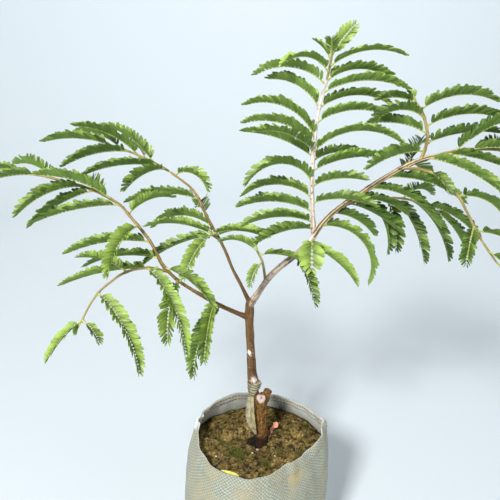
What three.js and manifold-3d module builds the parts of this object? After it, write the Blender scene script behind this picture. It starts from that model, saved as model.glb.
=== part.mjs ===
// A young grafted sweet tamarind in a round woven grow bag, in millimetres, +Z up.
// The origin is the middle of the flat bag floor, +X is to the right and -Y to the front.
import * as THREE from "three";
import { mergeVertices } from "three/addons/utils/BufferGeometryUtils.js";
import Module from "manifold-3d";

const wasm = await Module();
wasm.setup();

// Clearances
const GAP = 0.4;
const LEAF_CLEARANCE = 0.35;

// Sides of the round pieces
const BAG_SIDES = 30;
const ROOTSTOCK_SIDES = 9;
const STUB_SIDES = 7;
const TAPE_SIDES = 10;
const TWIG_SIDES = 5;

// Grow bag: a tube of woven cloth about 300 mm flat, so 190 to 200 mm across, with a folded hem.
// Its soil bulges the cloth, and a little further to the left than to the right.
const BAG_FLOOR_RADIUS = 91;
const BAG_FOOT_RADIUS = 96;
const BAG_FOOT_HEIGHT = 5;
const BAG_BULGE = 134;
const BAG_LEAN = 13;
const BAG_CLOTH = 1.6;
const BAG_HEM = 1.4;
const BAG_HEM_TALL = 15;
const BAG_HEM_STEP = 2;
const BAG_SAG = 1.6;
const BAG_SAG_FOLDS = 5;
// The mouth every 30 degrees, from +X by way of the back: how far out it stands and how high
const MOUTH_REACH = [100, 95, 93, 95, 98, 101, 99, 98, 96, 92, 77, 82];
const MOUTH_HEIGHT = [222, 221, 219, 219, 223, 217, 213, 201, 200, 201, 203, 206];
const WALL_LEVELS = [0.12, 0.4, 0.72, 1];

// Soil: its level, its tilt at the wall, its broad and small lumps with the length over which each
// swells, its rings as shares of the way to the wall, and the hollow in front of the rootstock
const SOIL_LEVEL = 187;
const SOIL_TILT = 2;
const BROAD_LUMP = { tall: 1.4, alongX: 17, alongY: 15 };
const SMALL_LUMP = { tall: 0.7, alongX: 7, alongY: 9 };
const SOIL_RINGS = [0.1, 0.17, 0.27, 0.42, 0.6, 0.8];
const HOLLOW = { x: -1, y: -7, deep: 10, wide: 8.5 };

// Rootstock: its path, the radius at each point, and the cut-back stub beside the graft
const ROOTSTOCK = {
  path: [[4, 7, 120], [3, 6, 165], [3, 6, 194], [1.4, 6, 228], [1.3, 6, 250], [1.5, 6, 258]],
  radii: [5, 8.5, 9.8, 9.2, 9.3, 8.6],
};
const STUB = {
  path: [[1.5, 6.5, 246], [5.2, 8, 262], [12, 10.5, 281]],
  radii: [7.5, 7.2, 6.2],
};

// Wood above the graft, one growth: each stem's path and its radius from foot to end
const TRUNK = {
  path: [[-3.5, 4, 256], [-9.7, 4, 283], [-11.3, 4, 301], [-13.6, 5, 326], [-15.1, 6, 360],
    [-16.6, 6, 393], [-16.6, 6, 414], [-15.9, 6, 434]],
  radii: [6.2, 6.8, 8, 6.6, 6.1, 6.2, 6.6, 5.6],
};
const RIGHT_LIMB = {
  path: [[-15.9, 6, 426], [-7, 2, 441], [4, -4, 462], [15, -8, 479], [31, -14, 496],
    [43, -18, 507], [55, -22, 520], [65, -22, 530], [71, -20, 541]],
  radii: [5, 5.2, 4.8, 4.8, 4.6, 4.8, 4.6, 4.6, 4],
};
const UPRIGHT = {
  path: [[70.6, -20, 538], [68, -18, 567], [66.4, -16, 594], [66, -14, 627], [67, -12, 652],
    [69, -10, 678], [72, -8, 702.5], [77, -6, 724.5], [81, -5, 739]],
  radii: [3.6, 3, 2.7, 2.6, 2.4, 2.2, 2, 1.8, 1.6],
};
const RIGHT_BRANCH = {
  path: [[69, -20, 536], [83, -28, 561], [101, -36, 582], [124, -44, 601], [147, -50, 619],
    [169.5, -54, 634.5], [192.5, -56, 646], [216, -56, 652]],
  radii: [4, 3.8, 3.6, 3.5, 3.4, 3.2, 3, 2.5],
};
const LEFT_B = {
  path: [[-16, 6, 428], [-30.5, 14, 456.5], [-42, 20, 478], [-51, 26, 500], [-61, 30, 520],
    [-72, 34, 539], [-84, 38, 563], [-92, 42, 580], [-102, 46, 592], [-117, 50, 603],
    [-131, 52, 613]],
  radii: [3.6, 3, 2.8, 2.8, 2.7, 2.6, 2.4, 2.3, 2.2, 2, 1.9],
};
const LEFT_C = {
  path: [[-16.6, 6, 404], [-38, -4, 418.5], [-56, -14, 432], [-72, -22, 445], [-86, -30, 458],
    [-99, -36, 469], [-115, -44, 485], [-131, -48, 506.5], [-137, -48, 520], [-145, -46, 536],
    [-158, -44, 555], [-169, -40, 567], [-182, -36, 583]],
  radii: [4.2, 3.6, 3.4, 3.4, 3, 2.8, 2.6, 2.6, 2.4, 2.4, 2.3, 2.2, 2.1],
};

// Leafy side twigs and soft shoot tips: each is one body with its own fronds
const UPRIGHT_TIP = {
  path: [[81.1, -4.9, 739.6], [84.5, -4, 756], [86, -3, 768]],
  radii: [1.5, 1.4, 1.2],
};
const RIGHT_TIP = {
  path: [[217, -56, 652.2], [241, -54, 657], [267, -50, 658.5], [293, -46, 657], [322, -40, 652],
    [345, -36, 645]],
  radii: [2.4, 2.2, 2, 1.8, 1.5, 1.2],
};
const RIGHT_UP = {
  path: [[193, -56, 646], [199, -50, 657], [204, -40, 671], [204, -30, 686], [201, -18, 701],
    [195, -8, 712]],
  radii: [2.2, 2.2, 2, 1.9, 1.8, 1.4],
};
const RIGHT_LOW = {
  path: [[172, -54, 636], [197, -66, 635], [218, -78, 625], [232, -88, 608], [241, -94, 592],
    [253, -98, 571], [265, -100, 552], [284, -100, 528]],
  radii: [2, 1.9, 1.8, 1.7, 1.6, 1.5, 1.4, 1.2],
};
const INNER_TWIG = {
  path: [[97, -33, 578], [120, -15, 583], [148, 5, 583], [177, 22, 581], [205, 36, 577],
    [231, 48, 568], [259, 58, 554]],
  radii: [2.2, 2, 1.9, 1.8, 1.6, 1.4, 1.2],
};
const LEFT_B_TIP = {
  path: [[-131.8, 52.1, 613.5], [-152, 54, 625], [-176, 56, 636], [-200, 56, 646], [-215, 55, 651]],
  radii: [1.8, 1.7, 1.5, 1.3, 1.2],
};
const LEFT_C_TIP = {
  path: [[-182.8, -35.8, 583.5], [-197, -32, 592], [-214, -28, 600], [-235, -24, 607],
    [-265, -18, 614], [-295, -14, 620], [-318, -11, 623]],
  radii: [2, 2, 1.9, 1.8, 1.6, 1.4, 1.2],
};
const LEFT_TWIG = {
  path: [[-122, -46, 495], [-144, -56, 505], [-163, -66, 507], [-179, -76, 504], [-190, -84, 498],
    [-202.5, -92, 489], [-213, -98, 476.5], [-221, -102, 463], [-226, -104, 453]],
  radii: [1.9, 1.8, 1.7, 1.6, 1.5, 1.4, 1.4, 1.3, 1.2],
};
const MID_TWIG = {
  path: [[6, -4, 464], [3.6, -14, 487], [0.5, -22, 503], [-6.5, -30, 521]],
  radii: [2, 1.8, 1.6, 1.3],
};
const LEFT_SPUR = {
  path: [[-59, 30, 517], [-66, 24, 524], [-70, 18, 530]],
  radii: [2.2, 2, 1.7],
};

// Fronds: a thin rib with leaflets in a V on it, arching over under its own weight.
// A leaflet leans forward from the rib and folds up; it has a shoulder and, past it, a tip, each
// a share of its length out along it and a share of the pitch on towards the frond's end
const PETIOLE = 10;
const LEAFLET_PITCH = 19;
const LEAFLET_LONG = 19;
const LEAFLET_LEAN = 58;
const LEAFLET_FOLD = 52;
const SHOULDER = { out: 0.78, on: 0.06 };
const TIP = { out: 1, on: 0.56 };
const FROND_END = 6;
const END_HALF_WIDE = 2.6;
const RIB_HALF_WIDE = 1;
const RIB_HALF_THICK = 0.8;
const BLADE_HALF_THICK = 0.4;
// The shortest leaflet, as a share of the longest, and the stretch of a half sine wave that the
// lengths follow along the frond
const SHORTEST = 0.66;
const SWELL = { from: 0.14, over: 0.74 };
// Where a frond is nearly in line with its stem, its foot counts as crossing at this sine
const LEAST_SINE = 0.45;

// A frond by hand: the point of its stem's path that it grows from, its heading round +Z from +X,
// its climb at the foot, how far it bends down along its length, its length and its roll
const frond = (at, heading, climb, bend, long, roll = 0) => ({
  at, heading, climb, bend, long, roll,
});

const UPRIGHT_FRONDS = [
  frond(0.35, 215, 15, 35, 95), frond(0.65, 200, 20, 45, 102), frond(1.15, 185, 30, 50, 102),
  frond(1.85, 170, 40, 80, 100), frond(2.5, 200, 60, 115, 108), frond(3.65, 165, 35, 35, 100),
  frond(3.9, 205, 25, 45, 110), frond(4.25, 185, 50, 65, 100), frond(4.6, 180, 72, 85, 108),
  frond(6.1, 160, 60, 65, 80), frond(7.6, 185, 50, 75, 95),
  frond(1.6, -30, 20, 40, 90), frond(2.35, -40, 30, 35, 80), frond(2.95, 0, 30, 40, 98),
  frond(3.45, 25, 20, 45, 102), frond(3.9, -10, 50, 85, 122), frond(5.35, -5, 35, 60, 95),
  frond(6.1, 5, 35, 65, 100), frond(6.95, -5, 30, 55, 108), frond(7.9, 8, 32, 80, 105),
];
const UPRIGHT_TIP_FRONDS = [
  frond(0.5, 200, 55, 95, 72), frond(0.95, 0, 38, 60, 98), frond(1.5, 150, 70, 40, 36),
  frond(1.85, 10, 62, 20, 50, 65), frond(1.95, 260, 60, 50, 34),
];
const SHOOT_FOOT_FRONDS = [
  frond(7.4, 265, -10, 55, 52), frond(6.6, -25, -10, 45, 85), frond(5.2, -60, -25, 45, 75),
];
const RIGHT_BRANCH_FRONDS = [
  frond(0.7, -10, 12, 120, 120), frond(1.6, 25, -10, 40, 80), frond(2.6, 15, -10, 45, 85),
  frond(3.4, -18, 8, 65, 102), frond(4.3, -10, 10, 45, 105), frond(5, 20, -10, 70, 105),
  frond(5.4, 60, 35, 60, 95), frond(6.4, -20, -6, 35, 108),
];
const RIGHT_TIP_FRONDS = [
  frond(0.25, -15, -5, 30, 100), frond(0.7, 15, 30, 35, 105), frond(1.4, -15, 12, 35, 105),
  frond(2, 40, 20, 45, 100), frond(2.8, -45, 5, 60, 95), frond(3.5, 35, 25, 45, 90),
  frond(4.2, -25, 10, 45, 85), frond(4.95, 15, 10, 40, 75),
];
const RIGHT_UP_FRONDS = [
  frond(0.9, 200, 5, 35, 80), frond(1.6, 15, 20, 30, 105), frond(2.3, 160, 30, 45, 75),
  frond(2.9, 0, 30, 55, 108), frond(3.5, 200, 35, 75, 78), frond(4.2, 5, 35, 60, 105),
  frond(4.8, 190, 30, 50, 55),
];
const RIGHT_LOW_FRONDS = [
  frond(1.2, -70, -5, 45, 45), frond(3, 10, 5, 75, 95), frond(4.9, 240, -20, 70, 52),
  frond(5.2, 0, 0, 65, 90), frond(6.4, -50, -20, 50, 80),
];
const INNER_TWIG_FRONDS = [
  frond(0.9, -25, -10, 30, 75), frond(1.9, -60, -15, 70, 80), frond(3, -75, -45, 35, 75),
  frond(3.4, -55, -30, 45, 100), frond(3.9, 45, 25, 60, 90), frond(4.5, -50, -20, 55, 100),
  frond(5.3, -25, -5, 45, 90), frond(5.9, -20, -30, 40, 80),
];
const LEFT_B_FRONDS = [
  frond(4.9, 190, 30, 75, 110), frond(5.6, 110, 25, 70, 85), frond(6.7, 180, 20, 45, 105),
  frond(9.5, -20, 35, 110, 62),
];
const LEFT_B_TIP_FRONDS = [
  frond(0.6, 205, 15, 35, 110), frond(1.1, 160, 38, 45, 110), frond(1.6, 110, 35, 50, 90),
  frond(2.5, 215, 10, 35, 95), frond(3, 150, 35, 55, 95), frond(3.95, 180, 20, 35, 95),
  frond(0.3, 225, 10, 45, 85), frond(2, 185, 25, 45, 100),
];
const LEFT_C_FRONDS = [
  frond(2.1, 238, -15, 70, 110), frond(2.6, 262, -15, 60, 95), frond(5.9, 260, -15, 75, 90),
  frond(6.8, -20, -5, 50, 85), frond(7.7, 175, 10, 40, 110), frond(9.1, 190, 2, 35, 108),
  frond(10.3, 250, 0, 60, 90), frond(11.4, 60, 30, 50, 85),
];
const LEFT_C_TIP_FRONDS = [
  frond(0.2, 195, 3, 25, 112), frond(1.6, 120, 30, 50, 90), frond(3, 225, 10, 50, 95),
  frond(4.3, 150, 30, 45, 85), frond(5, 205, 10, 40, 90), frond(5.95, 180, 15, 30, 80),
  frond(1, 170, 18, 40, 95), frond(2.3, 190, 12, 30, 95),
];
const LEFT_TWIG_FRONDS = [
  frond(1.1, 195, 0, 25, 125), frond(1.25, 312, -15, 70, 130), frond(2.6, 150, 20, 45, 70),
  frond(5.3, 320, -20, 60, 118), frond(7.9, 212, -30, 25, 66), frond(7.95, 330, -25, 40, 38),
];
const LEFT_SPUR_FRONDS = [
  frond(1.2, 10, 20, 45, 85), frond(1.6, 200, 0, 35, 105), frond(1.8, 165, 25, 45, 105),
  frond(1.95, 225, -5, 50, 90), frond(1.9, -30, 5, 40, 90),
];
const MID_TWIG_FRONDS = [
  frond(1.9, 235, -10, 70, 42), frond(2.6, 0, 15, 45, 65), frond(2.9, 140, 30, 60, 70),
];

// Graft tape: a wound sleeve over the union, with one loose end hanging in front of the rootstock
const TAPE = {
  path: [[-5, 3.5, 263], [-7.2, 4, 271], [-9, 4, 279], [-10.4, 4, 286], [-11.2, 4, 293]],
  radii: [10.4, 9.7, 10.3, 9.6, 9.2],
};
const TAPE_END = {
  path: [[-15.6, -4.6, 277], [-17, -7.2, 262], [-17.5, -8.5, 246], [-14, -9, 229], [-7.5, -8.5, 212]],
  half: [4.5, 6, 6.8, 5.6, 1.2],
  across: [1, 0.1, 0],
  thick: 0.9,
};

// Two fallen leaves on the soil, a little clear of it
const FALLEN_SPARE = 0.2;
const FALLEN_LEAFLET = {
  path: [[-59, -65], [-52, -69], [-45, -73], [-38, -76], [-32, -79]],
  half: [0.8, 2.8, 3.3, 2.8, 0.8],
  lift: [0, 0.6, 1.2, 0.8, 0],
  thick: 0.8,
};
const DRY_LEAF = {
  path: [[13, 7], [16, 16], [18, 22], [23, 28], [28, 33], [32, 37]],
  half: [0.7, 0.8, 3, 6, 5, 1.2],
  lift: [0, 1.5, 4, 8, 9, 5],
  thick: 0.8,
};

const COLOURS = {
  cloth: 0xc9ccbc, soil: 0x7a6238, bark: 0x8f674c, tape: 0xd8d5bf, leaf: 0x5a8f28,
  yellow_leaf: 0xd9d46a, dry_leaf: 0xd9806a,
};

const tree = new THREE.Group();
const { degToRad } = THREE.MathUtils;
const vector = ([x, y, z]) => new THREE.Vector3(x, y, z);
const curveOf = (stem) => new THREE.CatmullRomCurve3(stem.path.map(vector), false, "catmullrom", 0.5);

// A closed mesh from its points and triangles
function meshOf(points, triangles) {
  const geometry = new THREE.BufferGeometry();
  const places = points.flatMap((point) => point.toArray());
  geometry.setAttribute("position", new THREE.Float32BufferAttribute(places, 3));
  geometry.setIndex(triangles.flat());
  return geometry;
}

function solidOf(geometry) {
  const merged = mergeVertices(geometry, 1e-4);
  return new wasm.Manifold(new wasm.Mesh({
    numProp: 3,
    vertProperties: merged.attributes.position.array,
    triVerts: new Uint32Array(merged.index.array),
  }));
}

function geometryOf(solid) {
  const mesh = solid.getMesh();
  const geometry = new THREE.BufferGeometry();
  geometry.setAttribute("position", new THREE.BufferAttribute(mesh.vertProperties, 3));
  geometry.setIndex(new THREE.BufferAttribute(mesh.triVerts, 1));
  return geometry;
}

function addPiece(name, geometry, colour, roughness) {
  const material = new THREE.MeshStandardMaterial({ color: colour, roughness, metalness: 0 });
  const piece = new THREE.Mesh(geometry, material);
  piece.name = name;
  tree.add(piece);
  return piece;
}

// Rings of points, each ring as long as the next, skinned and closed by a point at each end.
// Its squares are split one way or, if crossed, the other, so that a filling can match its shell.
function skinned(rings, first, last, crossed = false) {
  const sides = rings[0].length;
  const points = [first, ...rings.flat(), last];
  const triangles = [];
  for (let side = 0; side < sides; side += 1) {
    const next = (side + 1) % sides;
    triangles.push([0, 1 + next, 1 + side]);
    for (let ring = 0; ring + 1 < rings.length; ring += 1) {
      const low = 1 + ring * sides;
      const high = low + sides;
      const split = crossed ? high + side : high + next;
      const start = crossed ? low + next : low + side;
      triangles.push([low + side, low + next, split], [start, high + next, high + side]);
    }
    const top = 1 + (rings.length - 1) * sides;
    triangles.push([points.length - 1, top + side, top + next]);
  }
  return meshOf(points, triangles);
}

// A stem: round rings square to its path, one at each point of it
function stemGeometry(stem, sides, grow = 0) {
  const curve = curveOf(stem);
  const last = stem.path.length - 1;
  const rings = [];
  const ends = [];
  let across = new THREE.Vector3(0, 1, 0);
  stem.path.forEach((unused, index) => {
    const along = curve.getTangent(index / last);
    const centre = curve.getPoint(index / last);
    if (index === 0) centre.addScaledVector(along, -grow);
    if (index === last) centre.addScaledVector(along, grow);
    across = across.clone().addScaledVector(along, -across.dot(along)).normalize();
    const beside = new THREE.Vector3().crossVectors(along, across);
    const ring = [];
    for (let side = 0; side < sides; side += 1) {
      const turn = (2 * Math.PI * side) / sides;
      const reach = stem.radii[index] + grow;
      ring.push(centre.clone()
        .addScaledVector(across, reach * Math.cos(turn))
        .addScaledVector(beside, reach * Math.sin(turn)));
    }
    rings.push(ring);
    ends.push(centre);
  });
  return skinned(rings, ends[0], ends[last]);
}

const stemSolid = (stem, sides, grow) => solidOf(stemGeometry(stem, sides, grow));

// A thin plate: the same triangles on both faces, and a wall round its outline
function plateGeometry(points, offsets, triangles, outline) {
  const count = points.length;
  const upper = points.map((point, index) => point.clone().add(offsets[index]));
  const lower = points.map((point, index) => point.clone().sub(offsets[index]));
  const faces = [];
  triangles.forEach(([a, b, c]) => faces.push([a, b, c], [a + count, c + count, b + count]));
  outline.forEach((from, index) => {
    const to = outline[(index + 1) % outline.length];
    faces.push([from, from + count, to + count], [from, to + count, to]);
  });
  return meshOf([...upper, ...lower], faces);
}

// A narrow blade along a path, given as points, half widths and the direction of its width
function bladeGeometry(points, half, across, thick) {
  const last = points.length - 1;
  const edges = [];
  const offsets = [];
  points.forEach((point, index) => {
    const before = points[Math.max(index - 1, 0)];
    const after = points[Math.min(index + 1, last)];
    const along = after.clone().sub(before).normalize();
    const upward = new THREE.Vector3().crossVectors(along, across).normalize();
    edges.push(point.clone().addScaledVector(across, half[index]));
    edges.push(point.clone().addScaledVector(across, -half[index]));
    const offset = upward.multiplyScalar(thick / 2);
    offsets.push(offset, offset);
  });
  const triangles = [];
  for (let row = 0; row < last; row += 1) {
    const left = 2 * row;
    triangles.push([left, left + 1, left + 3], [left, left + 3, left + 2]);
  }
  const outline = [];
  for (let row = 0; row <= last; row += 1) outline.push(2 * row + 1);
  for (let row = last; row >= 0; row -= 1) outline.push(2 * row);
  return plateGeometry(edges, offsets, triangles, outline);
}

// The frame of a frond at a distance along its rib: place, forward, upward and sideways
function frondFrame(foot, spec, distance) {
  const heading = degToRad(spec.heading);
  const start = degToRad(spec.climb);
  const curl = degToRad(spec.bend) / spec.long;
  const slope = start - curl * distance;
  const out = (Math.sin(start) - Math.sin(slope)) / curl;
  const rise = (Math.cos(slope) - Math.cos(start)) / curl;
  const level = new THREE.Vector3(Math.cos(heading), Math.sin(heading), 0);
  const up = new THREE.Vector3(0, 0, 1);
  const forward = level.clone().multiplyScalar(Math.cos(slope)).addScaledVector(up, Math.sin(slope));
  const upward = level.clone().multiplyScalar(-Math.sin(slope)).addScaledVector(up, Math.cos(slope));
  const sideways = new THREE.Vector3().crossVectors(forward, upward);
  const roll = degToRad(spec.roll);
  return {
    place: foot.clone().addScaledVector(level, out).addScaledVector(up, rise),
    forward,
    upward: upward.clone().multiplyScalar(Math.cos(roll))
      .addScaledVector(sideways, Math.sin(roll)),
    sideways: sideways.clone().multiplyScalar(Math.cos(roll))
      .addScaledVector(upward, -Math.sin(roll)),
  };
}

// Leaflets are a little shorter at both ends of a frond
function leafletLong(share) {
  const swell = Math.sin(Math.PI * (SWELL.from + SWELL.over * share));
  return LEAFLET_LONG * (SHORTEST + (1 - SHORTEST) * swell);
}

// A frond from a start along its rib; spare makes it thicker on both faces
function frondGeometry(foot, spec, start, spare = 0) {
  const pairs = Math.max(2, Math.round((spec.long - PETIOLE - FROND_END) / LEAFLET_PITCH));
  const pitch = (spec.long - PETIOLE - FROND_END) / pairs;
  const points = [];
  const offsets = [];
  const triangles = [];
  const sideOutline = { 1: [], [-1]: [] };
  const add = (point, upward, half) => {
    points.push(point);
    offsets.push(upward.clone().multiplyScalar(half + spare));
    return points.length - 1;
  };
  const ribAt = (distance, halfWide) => {
    const frame = frondFrame(foot, spec, distance);
    const edge = {};
    [1, -1].forEach((side) => {
      const place = frame.place.clone().addScaledVector(frame.sideways, side * halfWide);
      edge[side] = add(place, frame.upward, RIB_HALF_THICK);
      sideOutline[side].push(edge[side]);
    });
    return { frame, edge };
  };
  const join = (a, b, c, side) => triangles.push(side > 0 ? [a, b, c] : [a, c, b]);
  const lean = degToRad(LEAFLET_LEAN);
  const fold = degToRad(LEAFLET_FOLD);
  let here = ribAt(start, RIB_HALF_WIDE);
  const between = (back, front) => {
    join(back.edge[-1], back.edge[1], front.edge[1], 1);
    join(back.edge[-1], front.edge[1], front.edge[-1], 1);
  };
  const first = ribAt(PETIOLE, RIB_HALF_WIDE);
  between(here, first);
  here = first;
  for (let pair = 0; pair < pairs; pair += 1) {
    const long = leafletLong((pair + 0.5) / pairs);
    const { frame } = here;
    const tips = {};
    [1, -1].forEach((side) => {
      const blade = frame.forward.clone().multiplyScalar(Math.cos(lean))
        .addScaledVector(frame.sideways, side * Math.sin(lean) * Math.cos(fold))
        .addScaledVector(frame.upward, Math.sin(lean) * Math.sin(fold));
      const root = points[here.edge[side]];
      tips[side] = [SHOULDER, TIP].map(({ out, on }) => {
        const place = root.clone().addScaledVector(blade, out * long)
          .addScaledVector(frame.forward, on * pitch);
        return add(place, frame.upward, BLADE_HALF_THICK);
      });
      sideOutline[side].push(...tips[side]);
    });
    const next = ribAt(PETIOLE + (pair + 1) * pitch, RIB_HALF_WIDE);
    between(here, next);
    [1, -1].forEach((side) => {
      const [shoulder, tip] = tips[side];
      join(here.edge[side], shoulder, tip, side);
      join(here.edge[side], tip, next.edge[side], side);
    });
    here = next;
  }
  const end = ribAt(spec.long, END_HALF_WIDE);
  between(here, end);
  return plateGeometry(points, offsets, triangles, [...sideOutline[1], ...sideOutline[-1].reverse()]);
}

// Bends a frond aside, first a little and then more, until it is clear of everything set before it
const BEND_STEP = { heading: 6, climb: 5 };
const BEND_ROUNDS = 7;
const BEND_SIDES = [[1, 0], [-1, 0], [0, 1], [0, -1], [1, 1], [-1, 1], [1, -1], [-1, -1]];
const BEND_TRIES = [[0, 0]];
for (let round = 1; round <= BEND_ROUNDS; round += 1) {
  BEND_SIDES.forEach(([turn, rise]) => BEND_TRIES.push([round * turn, round * rise]));
}
const SEAT_FROM = 2.4;
const SEAT_STEP = 0.15;
const settled = [];

function boxesMeet(one, other) {
  return [0, 1, 2].every((axis) => one.min[axis] < other.max[axis] && other.min[axis] < one.max[axis]);
}

function isClear(solid) {
  const box = solid.boundingBox();
  return settled.every((other) => !boxesMeet(box, other.box) || solid.intersect(other.solid).isEmpty());
}

function settle(solid) {
  settled.push({ solid, box: solid.boundingBox() });
}

// The foot of a frond on its stem's axis, how far out from there the stem ends along the frond,
// and the sine of the angle between the two
function footOf(stem, spec) {
  const last = stem.path.length - 1;
  const curve = curveOf(stem);
  const foot = curve.getPoint(spec.at / last);
  const low = Math.min(Math.floor(spec.at), last - 1);
  const share = spec.at - low;
  const radius = stem.radii[low] * (1 - share) + stem.radii[low + 1] * share;
  const cosine = frondFrame(foot, spec, 0).forward.dot(curve.getTangent(spec.at / last));
  const sine = Math.max(Math.sqrt(1 - cosine * cosine), LEAST_SINE);
  return { foot, reach: radius / sine, sine };
}

// The first bend of a frond that is clear: its foot, its bent shape and its start, moved in from
// well clear of the stem until only the leaf clearance is left
function bentClear(stem, spec) {
  for (const [turn, rise] of BEND_TRIES) {
    const bent = {
      ...spec,
      heading: spec.heading + turn * BEND_STEP.heading,
      climb: spec.climb + rise * BEND_STEP.climb,
    };
    const { foot, reach, sine } = footOf(stem, bent);
    const margin = LEAF_CLEARANCE / sine;
    const clearFrom = (start) => isClear(
      solidOf(frondGeometry(foot, bent, start - margin, LEAF_CLEARANCE)),
    );
    let start = reach + SEAT_FROM;
    if (!clearFrom(start)) continue;
    while (clearFrom(start - SEAT_STEP)) start -= SEAT_STEP;
    return { foot, bent, start };
  }
  throw new Error(`the frond at ${spec.at}, heading ${spec.heading}, finds no clear way`);
}

const twoDigits = (number) => String(number).padStart(2, "0");

// Each frond of a woody stem is its own piece
function addFronds(prefix, stem, fronds) {
  fronds.forEach((spec, index) => {
    const { foot, bent, start } = bentClear(stem, spec);
    const geometry = frondGeometry(foot, bent, start);
    settle(solidOf(geometry));
    addPiece(`${prefix}_${twoDigits(index + 1)}`, geometry, COLOURS.leaf, 0.6);
  });
}

// A soft twig or shoot tip and its fronds are one body, cut clear of the wood that bears it
function addLeafyTwig(node, stem, fronds) {
  let solid = stemSolid(stem, TWIG_SIDES).subtract(woodClear);
  settle(solid);
  fronds.forEach((spec) => {
    const { foot, bent, start } = bentClear(stem, spec);
    settle(solidOf(frondGeometry(foot, bent, start)));
    solid = solid.add(solidOf(frondGeometry(foot, bent, 0)));
  });
  addPiece(node, geometryOf(solid), COLOURS.leaf, 0.6);
}

// A smooth value round the bag's mouth from a list with one value every 30 degrees
function aroundMouth(values, angle) {
  const place = (((angle / (2 * Math.PI)) % 1) + 1) % 1 * values.length;
  const index = Math.floor(place);
  const share = place - index;
  const [before, here, next, after] = [-1, 0, 1, 2].map(
    (step) => values[(index + step + values.length) % values.length],
  );
  return 0.5 * (2 * here + (next - before) * share
    + (2 * before - 5 * here + 4 * next - after) * share ** 2
    + (3 * here - before - 3 * next + after) * share ** 3);
}

// A point of the bag's wall at a height, moved out by some millimetres of cloth
function wallPoint(angle, height, out) {
  const share = height / aroundMouth(MOUTH_HEIGHT, angle);
  const sag = BAG_SAG * Math.sin(BAG_SAG_FOLDS * angle + 1) * Math.sin(Math.PI * share);
  const bulge = BAG_BULGE - BAG_LEAN * Math.cos(angle);
  const reach = (1 - share) ** 2 * BAG_FOOT_RADIUS + 2 * share * (1 - share) * bulge
    + share ** 2 * aroundMouth(MOUTH_REACH, angle) + sag + out;
  return new THREE.Vector3(reach * Math.cos(angle), reach * Math.sin(angle), height);
}

const soilEdge = (angle) => SOIL_LEVEL + SOIL_TILT * Math.sin(2 * angle + 0.6);
const BAG_ANGLES = Array.from(
  { length: BAG_SIDES },
  (unused, side) => (2 * Math.PI * side) / BAG_SIDES,
);
const flatRing = (radius, height) => BAG_ANGLES.map(
  (angle) => new THREE.Vector3(radius * Math.cos(angle), radius * Math.sin(angle), height),
);

// The bag from its floor up the outside, over the hem at the mouth and down the inside
function bagGeometry() {
  const ringAt = (heightOf, out) => BAG_ANGLES.map(
    (angle) => wallPoint(angle, heightOf(angle), out),
  );
  const mouth = (angle) => aroundMouth(MOUTH_HEIGHT, angle);
  const hemFoot = (angle) => mouth(angle) - BAG_HEM_TALL;
  const levels = WALL_LEVELS.slice(0, -1).map((level) => (angle) => level * soilEdge(angle));
  const rings = [
    flatRing(BAG_FLOOR_RADIUS, 0),
    ringAt(() => BAG_FOOT_HEIGHT, 0),
    ...levels.map((level) => ringAt(level, 0)),
    ringAt((angle) => Math.min(soilEdge(angle), hemFoot(angle) - BAG_HEM_STEP), 0),
    ringAt(hemFoot, BAG_HEM),
    ringAt(mouth, BAG_HEM),
    ringAt((angle) => mouth(angle) - 1, -BAG_CLOTH),
    ringAt((angle) => (mouth(angle) + soilEdge(angle)) / 2, -BAG_CLOTH),
    ringAt(soilEdge, -BAG_CLOTH),
    ...levels.toReversed().map((level) => ringAt(level, -BAG_CLOTH)),
    flatRing(BAG_FLOOR_RADIUS - 1, BAG_CLOTH),
  ];
  return skinned(rings, new THREE.Vector3(0, 0, 0), new THREE.Vector3(0, 0, BAG_CLOTH));
}

// The soil's level at a place, with gentle lumps and a hollow at the front of the rootstock
function soilHeight(x, y) {
  const broad = Math.sin(x / BROAD_LUMP.alongX + 1) * Math.cos(y / BROAD_LUMP.alongY);
  const small = Math.sin(x / SMALL_LUMP.alongX + y / SMALL_LUMP.alongY);
  const apart = Math.hypot(x - HOLLOW.x, y - HOLLOW.y) / HOLLOW.wide;
  return SOIL_LEVEL + BROAD_LUMP.tall * broad + SMALL_LUMP.tall * small
    - HOLLOW.deep * Math.exp(-apart * apart);
}

// The soil fills the bag, and its top's rings close round the rootstock
function soilGeometry() {
  const inset = -BAG_CLOTH - GAP - 0.1;
  const [axisX, axisY] = ROOTSTOCK.path[2];
  const floor = BAG_CLOTH + GAP;
  const floorRing = flatRing(BAG_FLOOR_RADIUS - 2, floor);
  const sideRings = WALL_LEVELS.map((level) => BAG_ANGLES.map(
    (angle) => wallPoint(angle, level * soilEdge(angle), inset),
  ));
  const topRings = SOIL_RINGS.toReversed().map((share) => sideRings.at(-1).map((edge) => {
    const x = axisX + share * (edge.x - axisX);
    const y = axisY + share * (edge.y - axisY);
    return new THREE.Vector3(x, y, soilHeight(x, y));
  }));
  const middle = new THREE.Vector3(axisX, axisY, soilHeight(axisX, axisY));
  const rings = [floorRing, ...sideRings, ...topRings];
  return skinned(rings, new THREE.Vector3(0, 0, floor), middle, true);
}

// Bag, soil and rootstock
const rootstock = stemSolid(ROOTSTOCK, ROOTSTOCK_SIDES).add(stemSolid(STUB, STUB_SIDES));
const rootstockHole = stemSolid(ROOTSTOCK, ROOTSTOCK_SIDES, GAP).add(stemSolid(STUB, STUB_SIDES, GAP));
const soil = solidOf(soilGeometry()).subtract(rootstockHole);
addPiece("grow_bag", bagGeometry(), COLOURS.cloth, 0.7);
const soilPiece = addPiece("soil", geometryOf(soil), COLOURS.soil, 0.95);
addPiece("rootstock", geometryOf(rootstock), COLOURS.bark, 0.9);

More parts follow.
